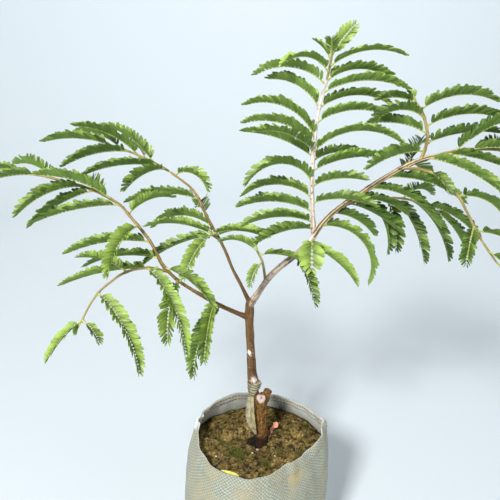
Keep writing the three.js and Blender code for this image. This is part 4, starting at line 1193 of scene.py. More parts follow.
def shoot_tip(stem, order):
    """The unopened leaves at a twig's end: two small fronds with narrow, nearly closed leaflets."""
    last = len(stem.path) - 1
    foot = along_path(stem.path, last)[0]
    ahead = stem_at(stem, last)[1]
    heading = math.degrees(math.atan2(ahead[1], ahead[0]))
    climb = math.degrees(math.asin(ahead[2]))
    draw = np.random.default_rng([SEED, 7000 + order])
    patches = []
    for turn in (-24, 26):
        small = Frond(last, heading + turn, min(climb + 18, 84), 35, 22)
        place, forward, upward, sideways = frond_frames(foot, small, [8, 11.5, 15])
        blades = []
        for side in (1, -1):
            out = unit(forward * 0.8 + sideways * side * 0.35 + upward * 0.35)
            onward = unit(forward - out * (forward * out).sum(1)[:, None])
            face = np.cross(out, side * onward)
            long = np.array([9, 8, 6.5])
            blades.append((place, out, onward, face, long, np.full(3, side), np.zeros(3), np.ones(3)))
        patches += [leaflets(blades, 1.0, draw), rib(foot, small, 0)]
    return patches


def fused(stems, voxel, softening):
    """One skin over overlapping stems: its points, quads and outward directions."""
    draft = bpy.data.objects.new("draft", new_mesh("draft", stems))
    bpy.context.scene.collection.objects.link(draft)
    remesh = draft.modifiers.new("Fuse", "REMESH")
    remesh.mode = "VOXEL"
    remesh.voxel_size = voxel * MM
    soften = draft.modifiers.new("Soften", "SMOOTH")
    soften.factor = 0.5
    soften.iterations = softening
    shaped = draft.evaluated_get(bpy.context.evaluated_depsgraph_get())
    mesh = shaped.to_mesh()
    points, facing = (np.empty(3 * len(mesh.vertices)) for _ in range(2))
    mesh.vertices.foreach_get("co", points)
    mesh.vertices.foreach_get("normal", facing)
    corners = np.empty(len(mesh.loops), np.int32)
    mesh.loops.foreach_get("vertex_index", corners)
    if len(corners) != 4 * len(mesh.polygons):
        raise RuntimeError("the fused skin isn't all quads")
    shaped.to_mesh_clear()
    bpy.data.objects.remove(draft)
    return points.reshape(-1, 3) / MM, corners.reshape(-1, 4), facing.reshape(-1, 3)


def stem_grain(points, stems):
    """For each point: the stem that it is nearest to, its place as if that stem were straight, in
    millimetres, and how far along the stem it is in points of the path."""
    rows = []
    for number, stem in enumerate(stems):
        line, _, at = stem_line(stem, 1)
        run = np.arange(len(line)) * np.linalg.norm(np.diff(line, axis=0), axis=1).mean()
        rows.append(np.column_stack([line, *across_line(line), run, at, np.full(len(line), number)]))
    rows = np.vstack(rows)
    tree = search_tree(rows[:, :3])
    near = rows[[tree.find(point)[1] for point in points]]
    off = points - near[:, :3]
    run, at, number = near[:, 9:].T
    across, beside = (off * near[:, 3:6]).sum(1), (off * near[:, 6:9]).sum(1)
    return number.astype(int), np.column_stack([across, beside, run + STEM_APART * number]), at


def pores(grain, count, seed):
    """Corky pores on bark: 1 in the middle of each short cross-wise pore and 0 away from it."""
    draw = np.random.default_rng(seed)
    turn = np.arctan2(grain[:, 1], grain[:, 0])
    radius = np.hypot(grain[:, 0], grain[:, 1])
    shown = np.zeros(len(grain))
    for place in grain[draw.integers(0, len(grain), count)]:
        near = np.abs(grain[:, 2] - place[2]) < 3
        away = turn_between(turn[near], math.atan2(place[1], place[0])) * radius[near]
        size = draw.uniform(0.45, 1.0)
        shape = ((grain[near, 2] - place[2]) / size) ** 2 + (away / (1.7 * size)) ** 2
        shown[near] = np.maximum(shown[near], np.exp(-shape ** 2))
    return shown


class TAMARIND_OT_scion_wood(Operator):
    """Builds the wood above the graft as one fused skin with pores, scars and swollen joints"""
    bl_idname = "tamarind.scion_wood"
    bl_label = "Scion wood"

    def execute(self, context):
        bearing = {id(stem): fronds for _, stem, fronds, _ in FROND_STEMS}
        tubes = []
        for stem, thick in zip(SCION, DRAWN_THICK):
            line, radii, run = jointed(stem, bearing.get(id(stem), []), 2, *WOOD_JOINT)
            if stem is not TRUNK:
                radii = radii + FORK_TALL * np.exp(-((run / FORK_LONG) ** 2))
            tubes.append(tube(line, thick * radii + SMOOTHED_OFF, SCION_SIDES))
        points, quads, facing = fused(tubes, 0.75, 5)
        number, grain, at = stem_grain(points, SCION)
        trunk, limb, shoot, branch, left_b, left_c = (number == k for k in range(len(SCION)))
        pore = pores(grain, PORES, [SEED, 1])
        ridged = grain * [1, 1, 0.12]
        off_middle = np.hypot(grain[:, 0], grain[:, 1])
        relief = off_middle * (0.035 * swell(ridged, 2.4, [SEED, 2]) + 0.03 * swell(grain, 9, [SEED, 3]))
        points = points + facing * (relief + PORE_TALL * pore)[:, None]
        # The bark turns from brown to tan along the limbs, and the shoot is pale
        brown = np.select([trunk, limb, left_b, left_c],
                          [1, 0.75 - 0.03 * at, 0.9 - 0.09 * at, 1.05 - 0.085 * at], 0)
        pale = np.select([shoot, limb], [np.clip(0.6 + 0.1 * at, 0, 0.95), 0.42], 0)
        # The right branch is fluted. Its ridges are painted pale as painted highlight and its grooves dark
        # as painted shade
        turn = np.arctan2(grain[:, 1], grain[:, 0])
        flutes = np.where(branch, np.cos(FLUTES * turn + 0.02 * grain[:, 2]), 0)
        points = points + facing * (FLUTE_TALL * flutes)[:, None]
        pale = np.maximum(pale, 0.7 * np.clip(flutes, 0, 1) ** 2)
        dusky = np.where(left_b, np.clip(0.62 - 0.13 * at, 0, 1), 0)
        dark = np.maximum(0.9 * np.clip(-flutes, 0, 1), dusky)
        patchy_edge = 1 + 0.35 * swell(points, 2.6, [SEED, 4])
        for places, shown, strength in ((KNOTS, dark, 0.9), (SCARS, pale, 1.0)):
            for *place, radius in places:
                away = np.linalg.norm(points - place, axis=1) / radius
                np.maximum(shown, strength * np.exp(-(away * patchy_edge) ** 4), out=shown)
        # The pore value carries pores, knots, the left branch's dusky bark and the painted shade in the
        # right branch's grooves; the pale value carries the shoot's skin, scars and the painted highlight
        # on the ridges
        values = {
            "grain": grain * MM, "brown": np.clip(brown, 0, 1), "pale": pale,
            "pore": np.maximum(pore, dark), "green": np.zeros(len(points)),
        }
        wood = Patch(points, quads, NO_TRIS, values)
        new_piece("young_wood", [wood], [finish(young_bark)], ["scion_wood"])
        return {"FINISHED"}


class TAMARIND_OT_rootstock(Operator):
    """Builds the rootstock: rough cracked bark, and the pale face where its stub was cut"""
    bl_idname = "tamarind.rootstock"
    bl_label = "Rootstock"

    def execute(self, context):
        stems = [ROOTSTOCK, STUB, CHEEK]
        tubes = [tube(*stem_line(stem, 2)[:2], ROOTSTOCK_SIDES) for stem in stems]
        points, quads, facing = fused(tubes, 0.9, 4)
        _, grain, _ = stem_grain(points, stems)
        cracks = np.clip(np.abs(swell(grain * [1, 1, 0.3], 5, [SEED, 5])) * 3.2, 0, 1)
        relief = 0.7 * (cracks - 0.7) + 0.35 * swell(grain, 3.2, [SEED, 6])
        points = points + facing * relief[:, None]
        # The cut face looks to the front and a little up: what stands out of it is shaved off
        way = unit(np.array(CUT_WAY))
        off = points - CUT_CENTRE
        height = off @ way
        flat = np.linalg.norm(off - height[:, None] * way, axis=1)
        shaved = np.clip(CUT_RADIUS - flat, 0, 1) * (height > -6)
        points = points - way * (np.maximum(height, 0) * shaved)[:, None]
        cut = np.clip((CUT_RADIUS - 0.6 - flat) / 0.6, 0, 1) * (height > -2.4)
        heart = np.exp(-((np.linalg.norm(points - CUT_HEART, axis=1) / 2.6) ** 4))
        # Its bark is dark in the cracks, and darkens near the soil as painted shade of the hollow at its
        # foot
        crack = np.clip(np.maximum(0.75 - 1.6 * cracks, (208 - points[:, 2]) / 9), 0, 1)
        values = {"grain": grain * MM, "cut": cut, "heart": heart, "crack": crack}
        wood = Patch(points, quads, NO_TRIS, values)
        new_piece("rough_stock", [wood], [finish(old_bark)], ["rootstock"])
        return {"FINISHED"}


def tape_sleeve():
    """The film wound round the graft: each turn laps over the one below and ends in a ledge."""
    line, radii, _ = stem_line(TAPE, 0.5)
    turn = turns(TAPE_SIDES)
    # The sleeve's lower end slants up to the right, above the cut face
    start = 0.36 + 0.3 * np.cos(turn - math.radians(250))
    share = np.linspace(0, 1, len(line))[:, None]
    last = len(line) - 1
    at = np.rint((start + (1 - start) * share) * last).astype(int)
    run = at * np.linalg.norm(line[-1] - line[0]) / last
    winding = (run / (bpy.context.scene.tamarind_wood.tape_wide / MM) + turn / (2 * math.pi)) % 1
    wrinkle = swell(round_points(1, turn, run / 9) * 9, 4.5, [SEED, 8])
    # Painted shade: the ledge value darkens the film along the end of each turn
    ledge = np.clip(1 - winding / 0.4, 0, 1) + np.clip((winding - 0.94) / 0.06, 0, 1)
    closing = np.clip(10 * np.minimum(share, 1 - share), 0.25, 1) ** 0.18
    reach = (radii[at] + TAPE_LAP * winding - TAPE_SUNK + TAPE_WRINKLE * wrinkle) * closing
    across, beside = across_line(line)
    spoke = across[at] * np.cos(turn)[:, None] + beside[at] * np.sin(turn)[:, None]
    rings = line[at] + spoke * reach[..., None]
    grain = np.vstack([round_points(radii[at], turn, run).reshape(-1, 3), np.zeros((2, 3))]) * MM
    return skin(rings, rings[0].mean(0), rings[-1].mean(0), grain=grain,
                ledge=np.append(np.clip(ledge, 0, 1), [1, 1]))


def tape_loose_end():
    """The film's loose end, bowed and creased. Its right side is yellowed and darkened by a line of painted
    shade.
    """
    line, half, _ = stem_line(TAPE_END, 1.5)
    across = unit(np.array(TAPE_END_ACROSS, float))
    face = np.cross(across, unit(np.gradient(line, axis=0)))
    columns = np.linspace(-1, 1, 15)
    wide = columns * half[:, None]
    drawn = np.broadcast_to(run_of(line)[:, None] * 0.35, wide.shape)
    crease = swell(np.stack([wide, drawn], -1), 4, [SEED, 9])
    bow = 1.4 * (1 - columns ** 2) + 0.55 * crease
    middle = line[:, None] + across * wide[..., None] + face[:, None] * bow[..., None]
    loose = slabs(middle[None], np.broadcast_to(face[:, None] * 0.22, middle.shape)[None])
    folded = np.clip(0.25 + 0.9 * columns + 0.25 * crease, 0, 1)
    shaded = 0.6 * np.exp(-(((columns - 0.12 + 0.1 * crease) / 0.09) ** 2))
    loose.values["worn"] = np.tile(folded.ravel(), 2)
    loose.values["ledge"] = np.tile(shaded.ravel(), 2)
    return loose


class TAMARIND_OT_graft_tape(Operator):
    """Builds the wound graft tape with its overlapping turns and its loose end"""
    bl_idname = "tamarind.graft_tape"
    bl_label = "Graft tape"

    def execute(self, context):
        new_piece("wound_tape", [tape_sleeve(), tape_loose_end()], [finish(graft_film)],
                  ["graft_tape"])
        return {"FINISHED"}


def around_mouth(values, angle):
    """A smooth value round the bag's mouth from a list with one value every 30 degrees."""
    values = np.asarray(values, float)
    place = (np.asarray(angle) / (2 * math.pi)) % 1 * len(values)
    index = np.floor(place).astype(int) % len(values)
    share = place - np.floor(place)
    before, here, after, beyond = (values[(index + k) % len(values)] for k in (-1, 0, 1, 2))
    return 0.5 * (2 * here + (after - before) * share
                  + (2 * before - 5 * here + 4 * after - beyond) * share ** 2
                  + (3 * here - before - 3 * after + beyond) * share ** 3)


def wall_reach(angle, height):
    """How far the bag's outside stands from its axis, as in its solid."""
    share = height / around_mouth(MOUTH_HEIGHT, angle)
    sag = SAG * np.sin(SAG_FOLDS * angle + 1) * np.sin(math.pi * share)
    bulge = BULGE - LEAN * np.cos(angle)
    return ((1 - share) ** 2 * FOOT_RADIUS + 2 * share * (1 - share) * bulge
            + share ** 2 * around_mouth(MOUTH_REACH, angle) + sag)


def cloth_fold(angle, height):
    """How far soft folds, wrinkles and the two corner creases move the cloth out or in."""
    bag = bpy.context.scene.tamarind_bag
    share = height / around_mouth(MOUTH_HEIGHT, angle)
    slack = np.clip((share - 0.55) / 0.45, 0, 1) ** 1.4
    draw = np.random.default_rng([SEED, 20])
    folds = sum(
        draw.uniform(0.4, 1) * np.sin(k * angle + draw.uniform(0, 6.3) + 1.5 * share)
        for k in FOLD_WAVES
    ) / 3
    places = round_points(FOOT_RADIUS - 1, angle, height)
    span, tall = BROAD_BULGE
    broad = tall * swell(places, span, [SEED, 21]) * np.sin(math.pi * np.clip(share, 0, 1))
    small = (0.3 + 0.4 * slack) * swell(places * [1, 1, 0.6], SMALL_BULGE_SPAN, [SEED, 22])
    fold = bag.fold_deep / MM * slack * folds + broad + small
    for corner in (RIGHT_CORNER, LEFT_CORNER):
        away = turn_between(angle, corner)
        groove = np.exp(-(((np.abs(away) - GROOVE_AT) / GROOVE_WIDE) ** 2))
        crest = np.exp(-((away / CREST_WIDE) ** 2)) - GROOVE_DEEP * groove
        fold = fold + CREST_DEEP * crest * np.clip((share - 0.5) / 0.5, 0, 1) ** 1.5
    return fold * np.clip(height / 30, 0, 1)


def mouth_line(angle):
    """The height of the bag's edge, a little uneven and crumpled up at the two corners."""
    uneven = 0.35 * np.sin(11 * angle) + 0.3 * np.sin(19 * angle + 2)
    for corner in (RIGHT_CORNER, LEFT_CORNER):
        near = np.exp(-((turn_between(angle, corner) / CRUMPLE_WIDE) ** 2))
        uneven = uneven + near * (CRUMPLE_TALL + CRUMPLE_WAVE_TALL * np.sin(CRUMPLE_WAVES * angle))
    return around_mouth(MOUTH_HEIGHT, angle) + uneven


def soil_edge(angle):
    """The height at which the soil meets the bag."""
    return SOIL_LEVEL + SOIL_TILT * np.sin(2 * angle + 0.6)


def on_bag(angle, height, out):
    """Points that stand out of the bag's folded wall by the given distance."""
    return round_points(wall_reach(angle, height) + cloth_fold(angle, height) + out, angle, height)


def hem_stitches(inner):
    """The stitches that hold the hem, on its inside, thicker than real thread so that they show."""
    stitches = []
    for turn in np.arange(0, 2 * math.pi, STITCH_PITCH):
        for below in STITCH_ROWS:
            span = turn + np.linspace(0, STITCH_SPAN, 4)
            line = on_bag(span, mouth_line(span) - below, inner - 0.75)
            stitches.append(tube(line, [0.3, 0.8, 0.8, 0.3], 5, finish=1))
    return stitches


class TAMARIND_OT_grow_bag(Operator):
    """Builds the woven bag as a lofted shell that bulges with its soil, with a folded hem"""
    bl_idname = "tamarind.grow_bag"
    bl_label = "Grow bag"

    def execute(self, context):
        bag = context.scene.tamarind_bag
        cloth = bag.cloth_thick / MM
        angle = turns(BAG_SIDES)
        mouth = mouth_line(angle)
        hem_foot = mouth - bag.hem_tall / MM
        low = soil_edge(angle) - 12
        rings, dirt = [], []

        def ring(points, dust_and_light):
            rings.append(points)
            dirt.append(np.full(BAG_SIDES, dust_and_light))

        for radius in (30, 60, 80, FLOOR_RADIUS):
            ring(round_points(radius, angle, 0), 0.3)
        ring(round_points(FLOOR_RADIUS + 3, angle, 1.2), 0.3)
        turn, level, wide = STAIN
        for share in np.linspace(0, 1, BAG_LEVELS):
            height = FOOT_HEIGHT + share * (hem_foot - FOOT_HEIGHT)
            stain = np.exp(-(((angle - turn) * 100) ** 2 + (height - level) ** 2) / wide ** 2)
            ring(on_bag(angle, height, 0), 0.3 * (1 - share) ** 1.2 + 0.6 * stain)
        # Painted highlight: the crumpled left corner is painted paler
        turned = np.exp(-(((angle - LEFT_CORNER) / 0.15) ** 2))
        for share, out in HEM_OUTSIDE:
            ring(on_bag(angle, hem_foot + share * (mouth - hem_foot), out), 0.05 - 0.5 * turned)
        inner = 0.35 - 2 * cloth
        # Painted light: inside, the hem and the wall down to the soil get values below 0, which paint the
        # cloth paler
        for share, out in HEM_INSIDE:
            ring(on_bag(angle, hem_foot + share * (mouth - hem_foot), inner + out), -0.3)
        top = hem_foot + 0.1 * (mouth - hem_foot)
        for share in np.linspace(0, 1, 12):
            ring(on_bag(angle, top + share * (low - top), -cloth), -0.4 + 0.4 * share)
        for share in np.linspace(0.1, 1, 8):
            ring(on_bag(angle, low + share * (FOOT_HEIGHT + 2 - low), -cloth), 0.5)
        ring(round_points(FLOOR_RADIUS - 2, angle, cloth), 0.3)
        rings = np.array(rings)
        run = np.cumsum(np.linalg.norm(np.diff(rings, axis=0, prepend=rings[:1]), axis=2), axis=0)
        rise = np.append(run.mean(1).repeat(BAG_SIDES), [0, run[-1].mean()]) * MM
        dirt = np.append(np.concatenate(dirt), [0, 0])
        shell = skin(rings, [[0, 0, 0]], [[0, 0, cloth]], rise=rise, dirt=dirt)
        finishes = [finish(woven_cloth), finish(sewing_thread)]
        new_piece("woven_bag", [shell, *hem_stitches(inner)], finishes, ["grow_bag"])
        return {"FINISHED"}


def inner_reach(angle, height):
    """How far the bag's inside stands from its axis."""
    thick = bpy.context.scene.tamarind_bag.cloth_thick / MM
    return wall_reach(angle, height) + cloth_fold(angle, height) - thick - 0.25


def crumbled(x, y, clods, crumbs):
    """The relief of the soil's clods and crumbs at a place, each as tall as given."""
    places = np.stack([x, y], -1)
    clods = clods * np.abs(swell(places, 5, [SEED, 31], 18))
    return clods + crumbs * np.abs(swell(places, 2.6, [SEED, 32], 24))


def ground(x, y):
    """The soil's level at a place: the lumps of its solid with crumbly relief, level at the wall."""
    tall, along_x, along_y = BROAD_LUMP
    uneven = tall * np.sin(x / along_x + 1) * np.cos(y / along_y)
    tall, along_x, along_y = SMALL_LUMP
    uneven = uneven + tall * np.sin(x / along_x + y / along_y)
    hollow_x, hollow_y, deep, wide = HOLLOW
    uneven = uneven - deep * np.exp(-((x - hollow_x) ** 2 + (y - hollow_y) ** 2) / wide ** 2)
    uneven = uneven + 0.9 * swell(np.stack([x, y], -1), 12, [SEED, 30], 14) + crumbled(x, y, 0.65, 0.42)
    angle = np.arctan2(y, x)
    edge = soil_edge(angle)
    near_wall = np.clip((np.hypot(x, y) / inner_reach(angle, edge) - 0.86) / 0.14, 0, 1) ** 2
    return SOIL_LEVEL + (uneven - 0.6) * (1 - 0.2 * near_wall) + (edge - SOIL_LEVEL) * near_wall


def gaps_between(x, y):
    """How much darker the soil is between its clods at a place, up to 0.16."""
    places = np.stack([x, y], -1)
    open_at = swell(places, 8, [SEED, 33], 20) + 0.5 * swell(places, 3.5, [SEED, 34], 24)
    return 0.2 * np.clip(open_at - 0.2, 0, 0.8)


def foot_shade(x, y):
    """How much a place belongs to the spot of painted shade in the hollow by the rootstock's foot, from 0
    to 1.
    """
    hollow_x, hollow_y, _, wide = HOLLOW
    off = 0.36 * (x - hollow_x + 3) ** 2 + (y - hollow_y - 11) ** 2
    return np.exp(-((off / (1.1 * wide) ** 2) ** 4))


def mossiness(x, y):
    """How mossy the soil is at a place, from 0 to 1."""
    shown = np.zeros(np.shape(x))
    for moss_x, moss_y, wide in MOSS_PLACES:
        shown = np.maximum(shown, np.exp(-(((x - moss_x) ** 2 + (y - moss_y) ** 2) / wide ** 2)))
    return shown


class TAMARIND_OT_soil(Operator):
    """Builds the soil's crumbly surface and its body down to the bag's floor"""
    bl_idname = "tamarind.soil"
    bl_label = "Soil"

    def execute(self, context):
        angle = turns(SOIL_SIDES)
        edge_height = soil_edge(angle)
        buried = [share * edge_height for share in (0.03, 0.12, 0.3, 0.5, 0.72, 0.9, 0.97)]
        rings = [round_points(inner_reach(angle, height), angle, height) for height in buried]
        high = [np.zeros(SOIL_SIDES) for _ in buried]
        mossy = [np.zeros(SOIL_SIDES) for _ in buried]
        edge = round_points(inner_reach(angle, edge_height), angle, edge_height)[:, :2]
        for share in 1 - np.linspace(0, 0.985, SOIL_RINGS):
            x, y = (SOIL_AXIS + share * (edge - SOIL_AXIS)).T
            rings.append(np.stack([x, y, ground(x, y)], -1))
            # Painted shade: the soil darkens along the bag's wall and in the hollow by the rootstock's foot
            shade = np.clip((share - 0.95) / 0.05, 0, 1) + 1.1 * foot_shade(x, y)
            lit = 0.24 - gaps_between(x, y) + crumbled(x, y, 0.13, 0.09)
            high.append(lit - 0.34 * np.clip(shade, 0, 1))
            mossy.append(mossiness(x, y))
        body = skin(
            np.array(rings), [[0, 0, 3]], [[*SOIL_AXIS, ground(*SOIL_AXIS[:, None])[0]]],
            high=np.append(np.concatenate(high), [0, 0.3]), mossy=np.append(np.concatenate(mossy), [0, 0]),
        )
        new_piece("crumbly_soil", [body], [finish(potting_soil)], ["soil"], sharp=80)
        return {"FINISHED"}


def scattered(draw, count, keep=lambda x, y: np.ones(np.shape(x), bool)):
    """Seeded places on the soil, clear of the wall and of the rootstock."""
    x, y = draw.uniform(-95, 95, (2, 6 * count))
    angle = np.arctan2(y, x)
    off_wall = np.hypot(x, y) < inner_reach(angle, soil_edge(angle)) - 3
    off_stem = np.hypot(x - SOIL_AXIS[0], y - SOIL_AXIS[1]) > STEM_CLEAR
    inside = off_wall & off_stem & keep(x, y) & (foot_shade(x, y) < 0.3)
    return x[inside][:count], y[inside][:count]


def lump_shape():
    """Corners and faces of an even twenty-sided lump of radius 1."""
    long = (1 + math.sqrt(5)) / 2
    corners = unit(np.array([
        [-1, long, 0], [1, long, 0], [-1, -long, 0], [1, -long, 0], [0, -1, long], [0, 1, long],
        [0, -1, -long], [0, 1, -long], [long, 0, -1], [long, 0, 1], [-long, 0, -1], [-long, 0, 1],
    ], float))
    faces = np.array([
        [0, 11, 5], [0, 5, 1], [0, 1, 7], [0, 7, 10], [0, 10, 11], [1, 5, 9], [5, 11, 4],
        [11, 10, 2], [10, 7, 6], [7, 1, 8], [3, 9, 4], [3, 4, 2], [3, 2, 6], [3, 6, 8], [3, 8, 9],
        [4, 9, 5], [2, 4, 11], [6, 2, 10], [8, 6, 7], [9, 8, 1],
    ])
    return corners, faces


def lumps(x, y, radius, squash, draw, sink=0.25, **values):
    """Small uneven lumps that lie on the soil, sunk in it by a share of their height."""
    corners, faces = lump_shape()
    shape = corners[None] * draw.uniform(0.72, 1.25, (len(x), len(corners)))[..., None]
    shape = shape * radius[:, None, None] * np.stack([
        draw.uniform(0.8, 1.25, len(x)), draw.uniform(0.8, 1.25, len(x)), np.full(len(x), squash),
    ], -1)[:, None]
    centre = np.stack([x, y, ground(x, y) + radius * squash * (1 - 2 * sink)], -1)
    points = (shape + centre[:, None]).reshape(-1, 3)
    tris = (faces[None] + len(corners) * np.arange(len(x))[:, None, None]).reshape(-1, 3)
    spread = {key: np.repeat(value, len(corners)) for key, value in values.items()}
    return Patch(points, NO_QUADS, tris, spread)


class TAMARIND_OT_soil_crumbs(Operator):
    """Scatters loose crumbs of soil over its surface"""
    bl_idname = "tamarind.soil_crumbs"
    bl_label = "Soil crumbs"

    def execute(self, context):
        soil = context.scene.tamarind_soil
        draw = np.random.default_rng([SEED, 40])
        x, y = scattered(draw, soil.crumbs)
        # Small crumbs are many and large ones few
        radius = SMALLEST_CRUMB + (soil.largest / MM - SMALLEST_CRUMB) * draw.uniform(0, 1, len(x)) ** 4
        high = draw.uniform(0.28, 0.48, len(x)) - gaps_between(x, y)
        patch = lumps(x, y, radius, 0.8, draw, high=high, mossy=mossiness(x, y))
        new_piece("soil_crumbs", [patch], [finish(potting_soil)], sharp=30)
        return {"FINISHED"}


class TAMARIND_OT_moss(Operator):
    """Grows cushions of moss in patches on the soil"""
    bl_idname = "tamarind.moss"
    bl_label = "Moss"

    def execute(self, context):
        draw = np.random.default_rng([SEED, 41])
        x, y = scattered(draw, 1500, lambda x, y: mossiness(x, y) > draw.uniform(0.25, 1.4, np.shape(x)))
        radius = draw.uniform(0.5, 1.25, len(x))
        patch = lumps(x, y, radius, 0.9, draw, sink=0.1)
        new_piece("moss_cushions", [patch], [finish(moss_cushion)], sharp=60)
        return {"FINISHED"}


def dead_twig(x, y, heading, long):
    """A dead twig on the soil, a little bent, that lies over its hollows."""
    share = np.linspace(-0.5, 0.5, 9)
    turn = math.radians(heading) + 0.5 * share
    line_x = x + long * share * np.cos(turn)
    line_y = y + long * share * np.sin(turn)
    level = ground(line_x, line_y) + 0.8
    level = level.max() * 0.6 + level * 0.4
    return tube(np.stack([line_x, line_y, level], -1), 0.75 - 0.35 * np.abs(share), 6)


class TAMARIND_OT_soil_litter(Operator):
    """Lays small dead twigs, pale grains and a pebble on the soil"""
    bl_idname = "tamarind.soil_litter"
    bl_label = "Soil litter"

    def execute(self, context):
        draw = np.random.default_rng([SEED, 42])
        twigs = [dead_twig(*twig) for twig in DEAD_TWIGS]
        x, y = np.array(PALE_SPECKS, float).T
        specks = lumps(x, y, draw.uniform(0.9, 1.5, len(x)), 0.8, draw)._replace(finish=1)
        x, y, radius = (np.array([value], float) for value in PEBBLE)
        pebble = lumps(x, y, radius, 0.7, draw, sink=0.2)._replace(finish=2)
        finishes = [finish(dead_wood), finish(pale_grain), finish(river_pebble)]
        new_piece("soil_litter", [*twigs, specks, pebble], finishes, sharp=70)
        return {"FINISHED"}


def lying_blade(stem, lift, columns, curl, wave, seed, notch=0.0):
    """A fallen blade over the soil, along a path whose third numbers are heights above the soil. Its
    sides are notched into lobes by the given share."""
    last = len(stem.path) - 1
    at = np.linspace(0, last, 8 * last + 1)
    line = along_path(stem.path, at)
    half = np.interp(at, range(last + 1), stem.radii)
    level = ground(*line[[0, -1], :2].T)
    line[:, 2] += np.linspace(*level, len(at)) + lift
    ends = line[-1] - line[0]
    across = unit(np.array([ends[1], -ends[0], 0]))
    face = unit(np.cross(across, unit(np.gradient(line, axis=0))))
    side = np.linspace(-1, 1, columns)
    lobes = 1 - notch * (0.5 + 0.5 * np.cos(4.2 * at[:, None] + 1.2 * np.sign(side)))
    wide = side * half[:, None] * lobes
    places = np.stack(np.broadcast_arrays(wide, run_of(line)[:, None]), -1)
    bow = curl * side ** 2 * half[:, None] + wave * swell(places, 5, seed)
    middle = line[:, None] + across * wide[..., None] + face[:, None] * bow[..., None]
    return slabs(middle[None], np.broadcast_to(face[:, None] * 0.16, middle.shape)[None])


class TAMARIND_OT_fallen_leaves(Operator):
    """Lays the yellow leaflet and the dry curled leaf on the soil"""
    bl_idname = "tamarind.fallen_leaves"
    bl_label = "Fallen leaves"

    def execute(self, context):
        yellow = lying_blade(FALLEN_LEAFLET, 2.4, 9, 0.22, 0.15, [SEED, 50])
        new_piece("yellow_leaflet", [yellow], [finish(fallen_blade)], ["fallen_leaflet"])
        dry = lying_blade(DRY_LEAF, 1.6, 13, 0.5, 1.1, [SEED, 51], 0.6)
        new_piece("curled_leaf", [dry], [finish(dried_blade)], ["dry_leaf"])
        return {"FINISHED"}


class TAMARIND_OT_fronds(Operator):
    """Builds each frond that grows on the wood, with fine leaflets on a thin rib"""
    bl_idname = "tamarind.fronds"
    bl_label = "Fronds"

    def execute(self, context):
        finishes = [finish(leaf_blade), finish(leaf_stalk)]
        for place, (prefix, stem, fronds, young) in enumerate(FROND_STEMS):
            for number, frond in enumerate(fronds, 1):
                node = f"{prefix}_{number:02d}"
                fresh = young + 0.4 * frond.at / (len(stem.path) - 1)
                patches = grown_frond(node, stem, frond, fresh, 100 * place + number)
                new_piece(f"leaves_{node}", patches, finishes, [node])
        return {"FINISHED"}


class TAMARIND_OT_leafy_twigs(Operator):
    """Builds each soft twig with its own fronds and its unopened tip"""
    bl_idname = "tamarind.leafy_twigs"
    bl_label = "Leafy twigs"

    def execute(self, context):
        finishes = [finish(leaf_blade), finish(leaf_stalk), finish(young_bark)]
        for place, (node, stem, fronds, young) in enumerate(LEAFY_TWIGS):
            patches = [twig_patch(stem, fronds)]
            for number, frond in enumerate(fronds, 1):
                patches += grown_frond(node, stem, frond, young, 1000 + 100 * place + number)
            patches += shoot_tip(stem, place)
            new_piece(f"leafy_{node}", patches, finishes, [node])
        return {"FINISHED"}


def cove_mesh():
    """The studio's floor, a wide disc that curves up into a round wall, so that no edge shows."""
    bend = np.linspace(0, math.pi / 2, 17)
    reach = np.concatenate([[FLOOR_DISC], COVE_REACH - COVE_SWEEP * (1 - np.sin(bend)), [COVE_REACH]])
    level = np.concatenate([[0], COVE_SWEEP * (1 - np.cos(bend)), [COVE_TOP]])
    corners = round_points(reach[:, None], turns(COVE_SIDES), level[:, None]).reshape(-1, 3)
    faces = [range(COVE_SIDES)] + [
        (low + side, low + COVE_SIDES + side, low + COVE_SIDES + following, low + following)
        for low in range(0, len(corners) - COVE_SIDES, COVE_SIDES)
        for side, following in ((k, (k + 1) % COVE_SIDES) for k in range(COVE_SIDES))
    ]
    mesh = bpy.data.meshes.new("floor")
    mesh.from_pydata(corners.tolist(), [], faces)
    mesh.shade_smooth()
    mesh.materials.append(finish(studio_cove))
    return mesh


class TAMARIND_OT_stage(Operator):
    """Sets the plain floor, the soft studio light and the camera"""
    bl_idname = "tamarind.stage"
    bl_label = "Stage"

    def execute(self, context):
        studio = context.scene.tamarind_studio
        scene = context.scene
        scene.view_settings.view_transform = "Standard"
        floor = bpy.data.objects.new("floor", cove_mesh())
        scene.collection.objects.link(floor)

        world = bpy.data.worlds.new("Even studio light")
        scene.world = world
        world.use_nodes = True
        world.node_tree.nodes.clear()
        even = add_node(world.node_tree, "Background", {0: studio.sky, 1: studio.surround})
        add_node(world.node_tree, "OutputWorld", {0: even})

        for name, place, aim, size, power in (
            ("key", (-1.0, -2.1, 2.3), (0, 0, 0.5), 0.5, studio.key),
            ("fill", (2.2, -1.4, 1.2), (0, 0, 0.45), 1.6, studio.fill),
            ("wall", (0, 1.9, 3.4), (0, 4.2, 0.8), 2.4, studio.wall),
        ):
            lamp = bpy.data.lights.new(name, "AREA")
            lamp.energy = power
            lamp.size = size
            holder = bpy.data.objects.new(name, lamp)
            holder.location = place
            holder.rotation_euler = (Vector(aim) - Vector(place)).to_track_quat("-Z", "Y").to_euler()
            scene.collection.objects.link(holder)

        lens = bpy.data.cameras.new("camera")
        lens.sensor_width = 36
        lens.lens = lens.sensor_width / 2 / math.tan(math.radians(CAMERA_ANGLE / 2))
        camera = bpy.data.objects.new("camera", lens)
        camera.location = CAMERA_PLACE
        camera.rotation_euler = (math.radians(90 - CAMERA_DOWN), 0, 0)
        scene.collection.objects.link(camera)
        scene.camera = camera
        return {"FINISHED"}


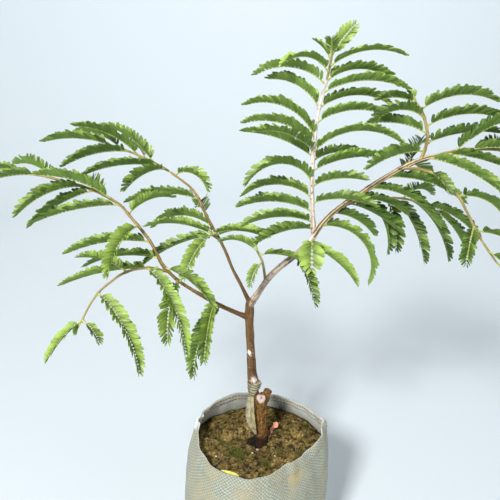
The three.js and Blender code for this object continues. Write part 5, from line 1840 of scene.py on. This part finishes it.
class TAMARIND_PT_panel(Panel):
    """Lists the pieces of the potted tamarind and their sizes and colours"""
    bl_idname = "TAMARIND_PT_panel"
    bl_label = "Potted Tamarind"
    bl_space_type = "VIEW_3D"
    bl_region_type = "UI"
    bl_category = "Tamarind"

    def draw(self, context):
        for operator in OPERATORS:
            self.layout.operator(operator.bl_idname)
        for attribute, group in SETTINGS.items():
            box = self.layout.box()
            for key in group.__annotations__:
                box.prop(getattr(context.scene, attribute), key)


OPERATORS = [
    TAMARIND_OT_grow_bag, TAMARIND_OT_soil, TAMARIND_OT_soil_crumbs, TAMARIND_OT_moss,
    TAMARIND_OT_soil_litter, TAMARIND_OT_rootstock, TAMARIND_OT_scion_wood, TAMARIND_OT_graft_tape,
    TAMARIND_OT_fallen_leaves, TAMARIND_OT_leafy_twigs, TAMARIND_OT_fronds, TAMARIND_OT_stage,
]
SETTINGS = {
    "tamarind_leaves": LeafSettings,
    "tamarind_wood": WoodSettings,
    "tamarind_bag": BagSettings,
    "tamarind_soil": SoilSettings,
    "tamarind_studio": StudioSettings,
}


def register():
    for made in (*SETTINGS.values(), *OPERATORS, TAMARIND_PT_panel):
        bpy.utils.register_class(made)
    for attribute, group in SETTINGS.items():
        setattr(bpy.types.Scene, attribute, PointerProperty(type=group))


def unregister():
    for attribute in SETTINGS:
        delattr(bpy.types.Scene, attribute)
    for made in (TAMARIND_PT_panel, *reversed(OPERATORS), *reversed(list(SETTINGS.values()))):
        bpy.utils.unregister_class(made)


def main():
    register()
    bpy.ops.tamarind.grow_bag()
    bpy.ops.tamarind.soil()
    bpy.ops.tamarind.soil_crumbs()
    bpy.ops.tamarind.moss()
    bpy.ops.tamarind.soil_litter()
    bpy.ops.tamarind.rootstock()
    bpy.ops.tamarind.scion_wood()
    bpy.ops.tamarind.graft_tape()
    bpy.ops.tamarind.fallen_leaves()
    bpy.ops.tamarind.leafy_twigs()
    bpy.ops.tamarind.fronds()
    bpy.ops.tamarind.stage()


if __name__ == "__main__":
    main()
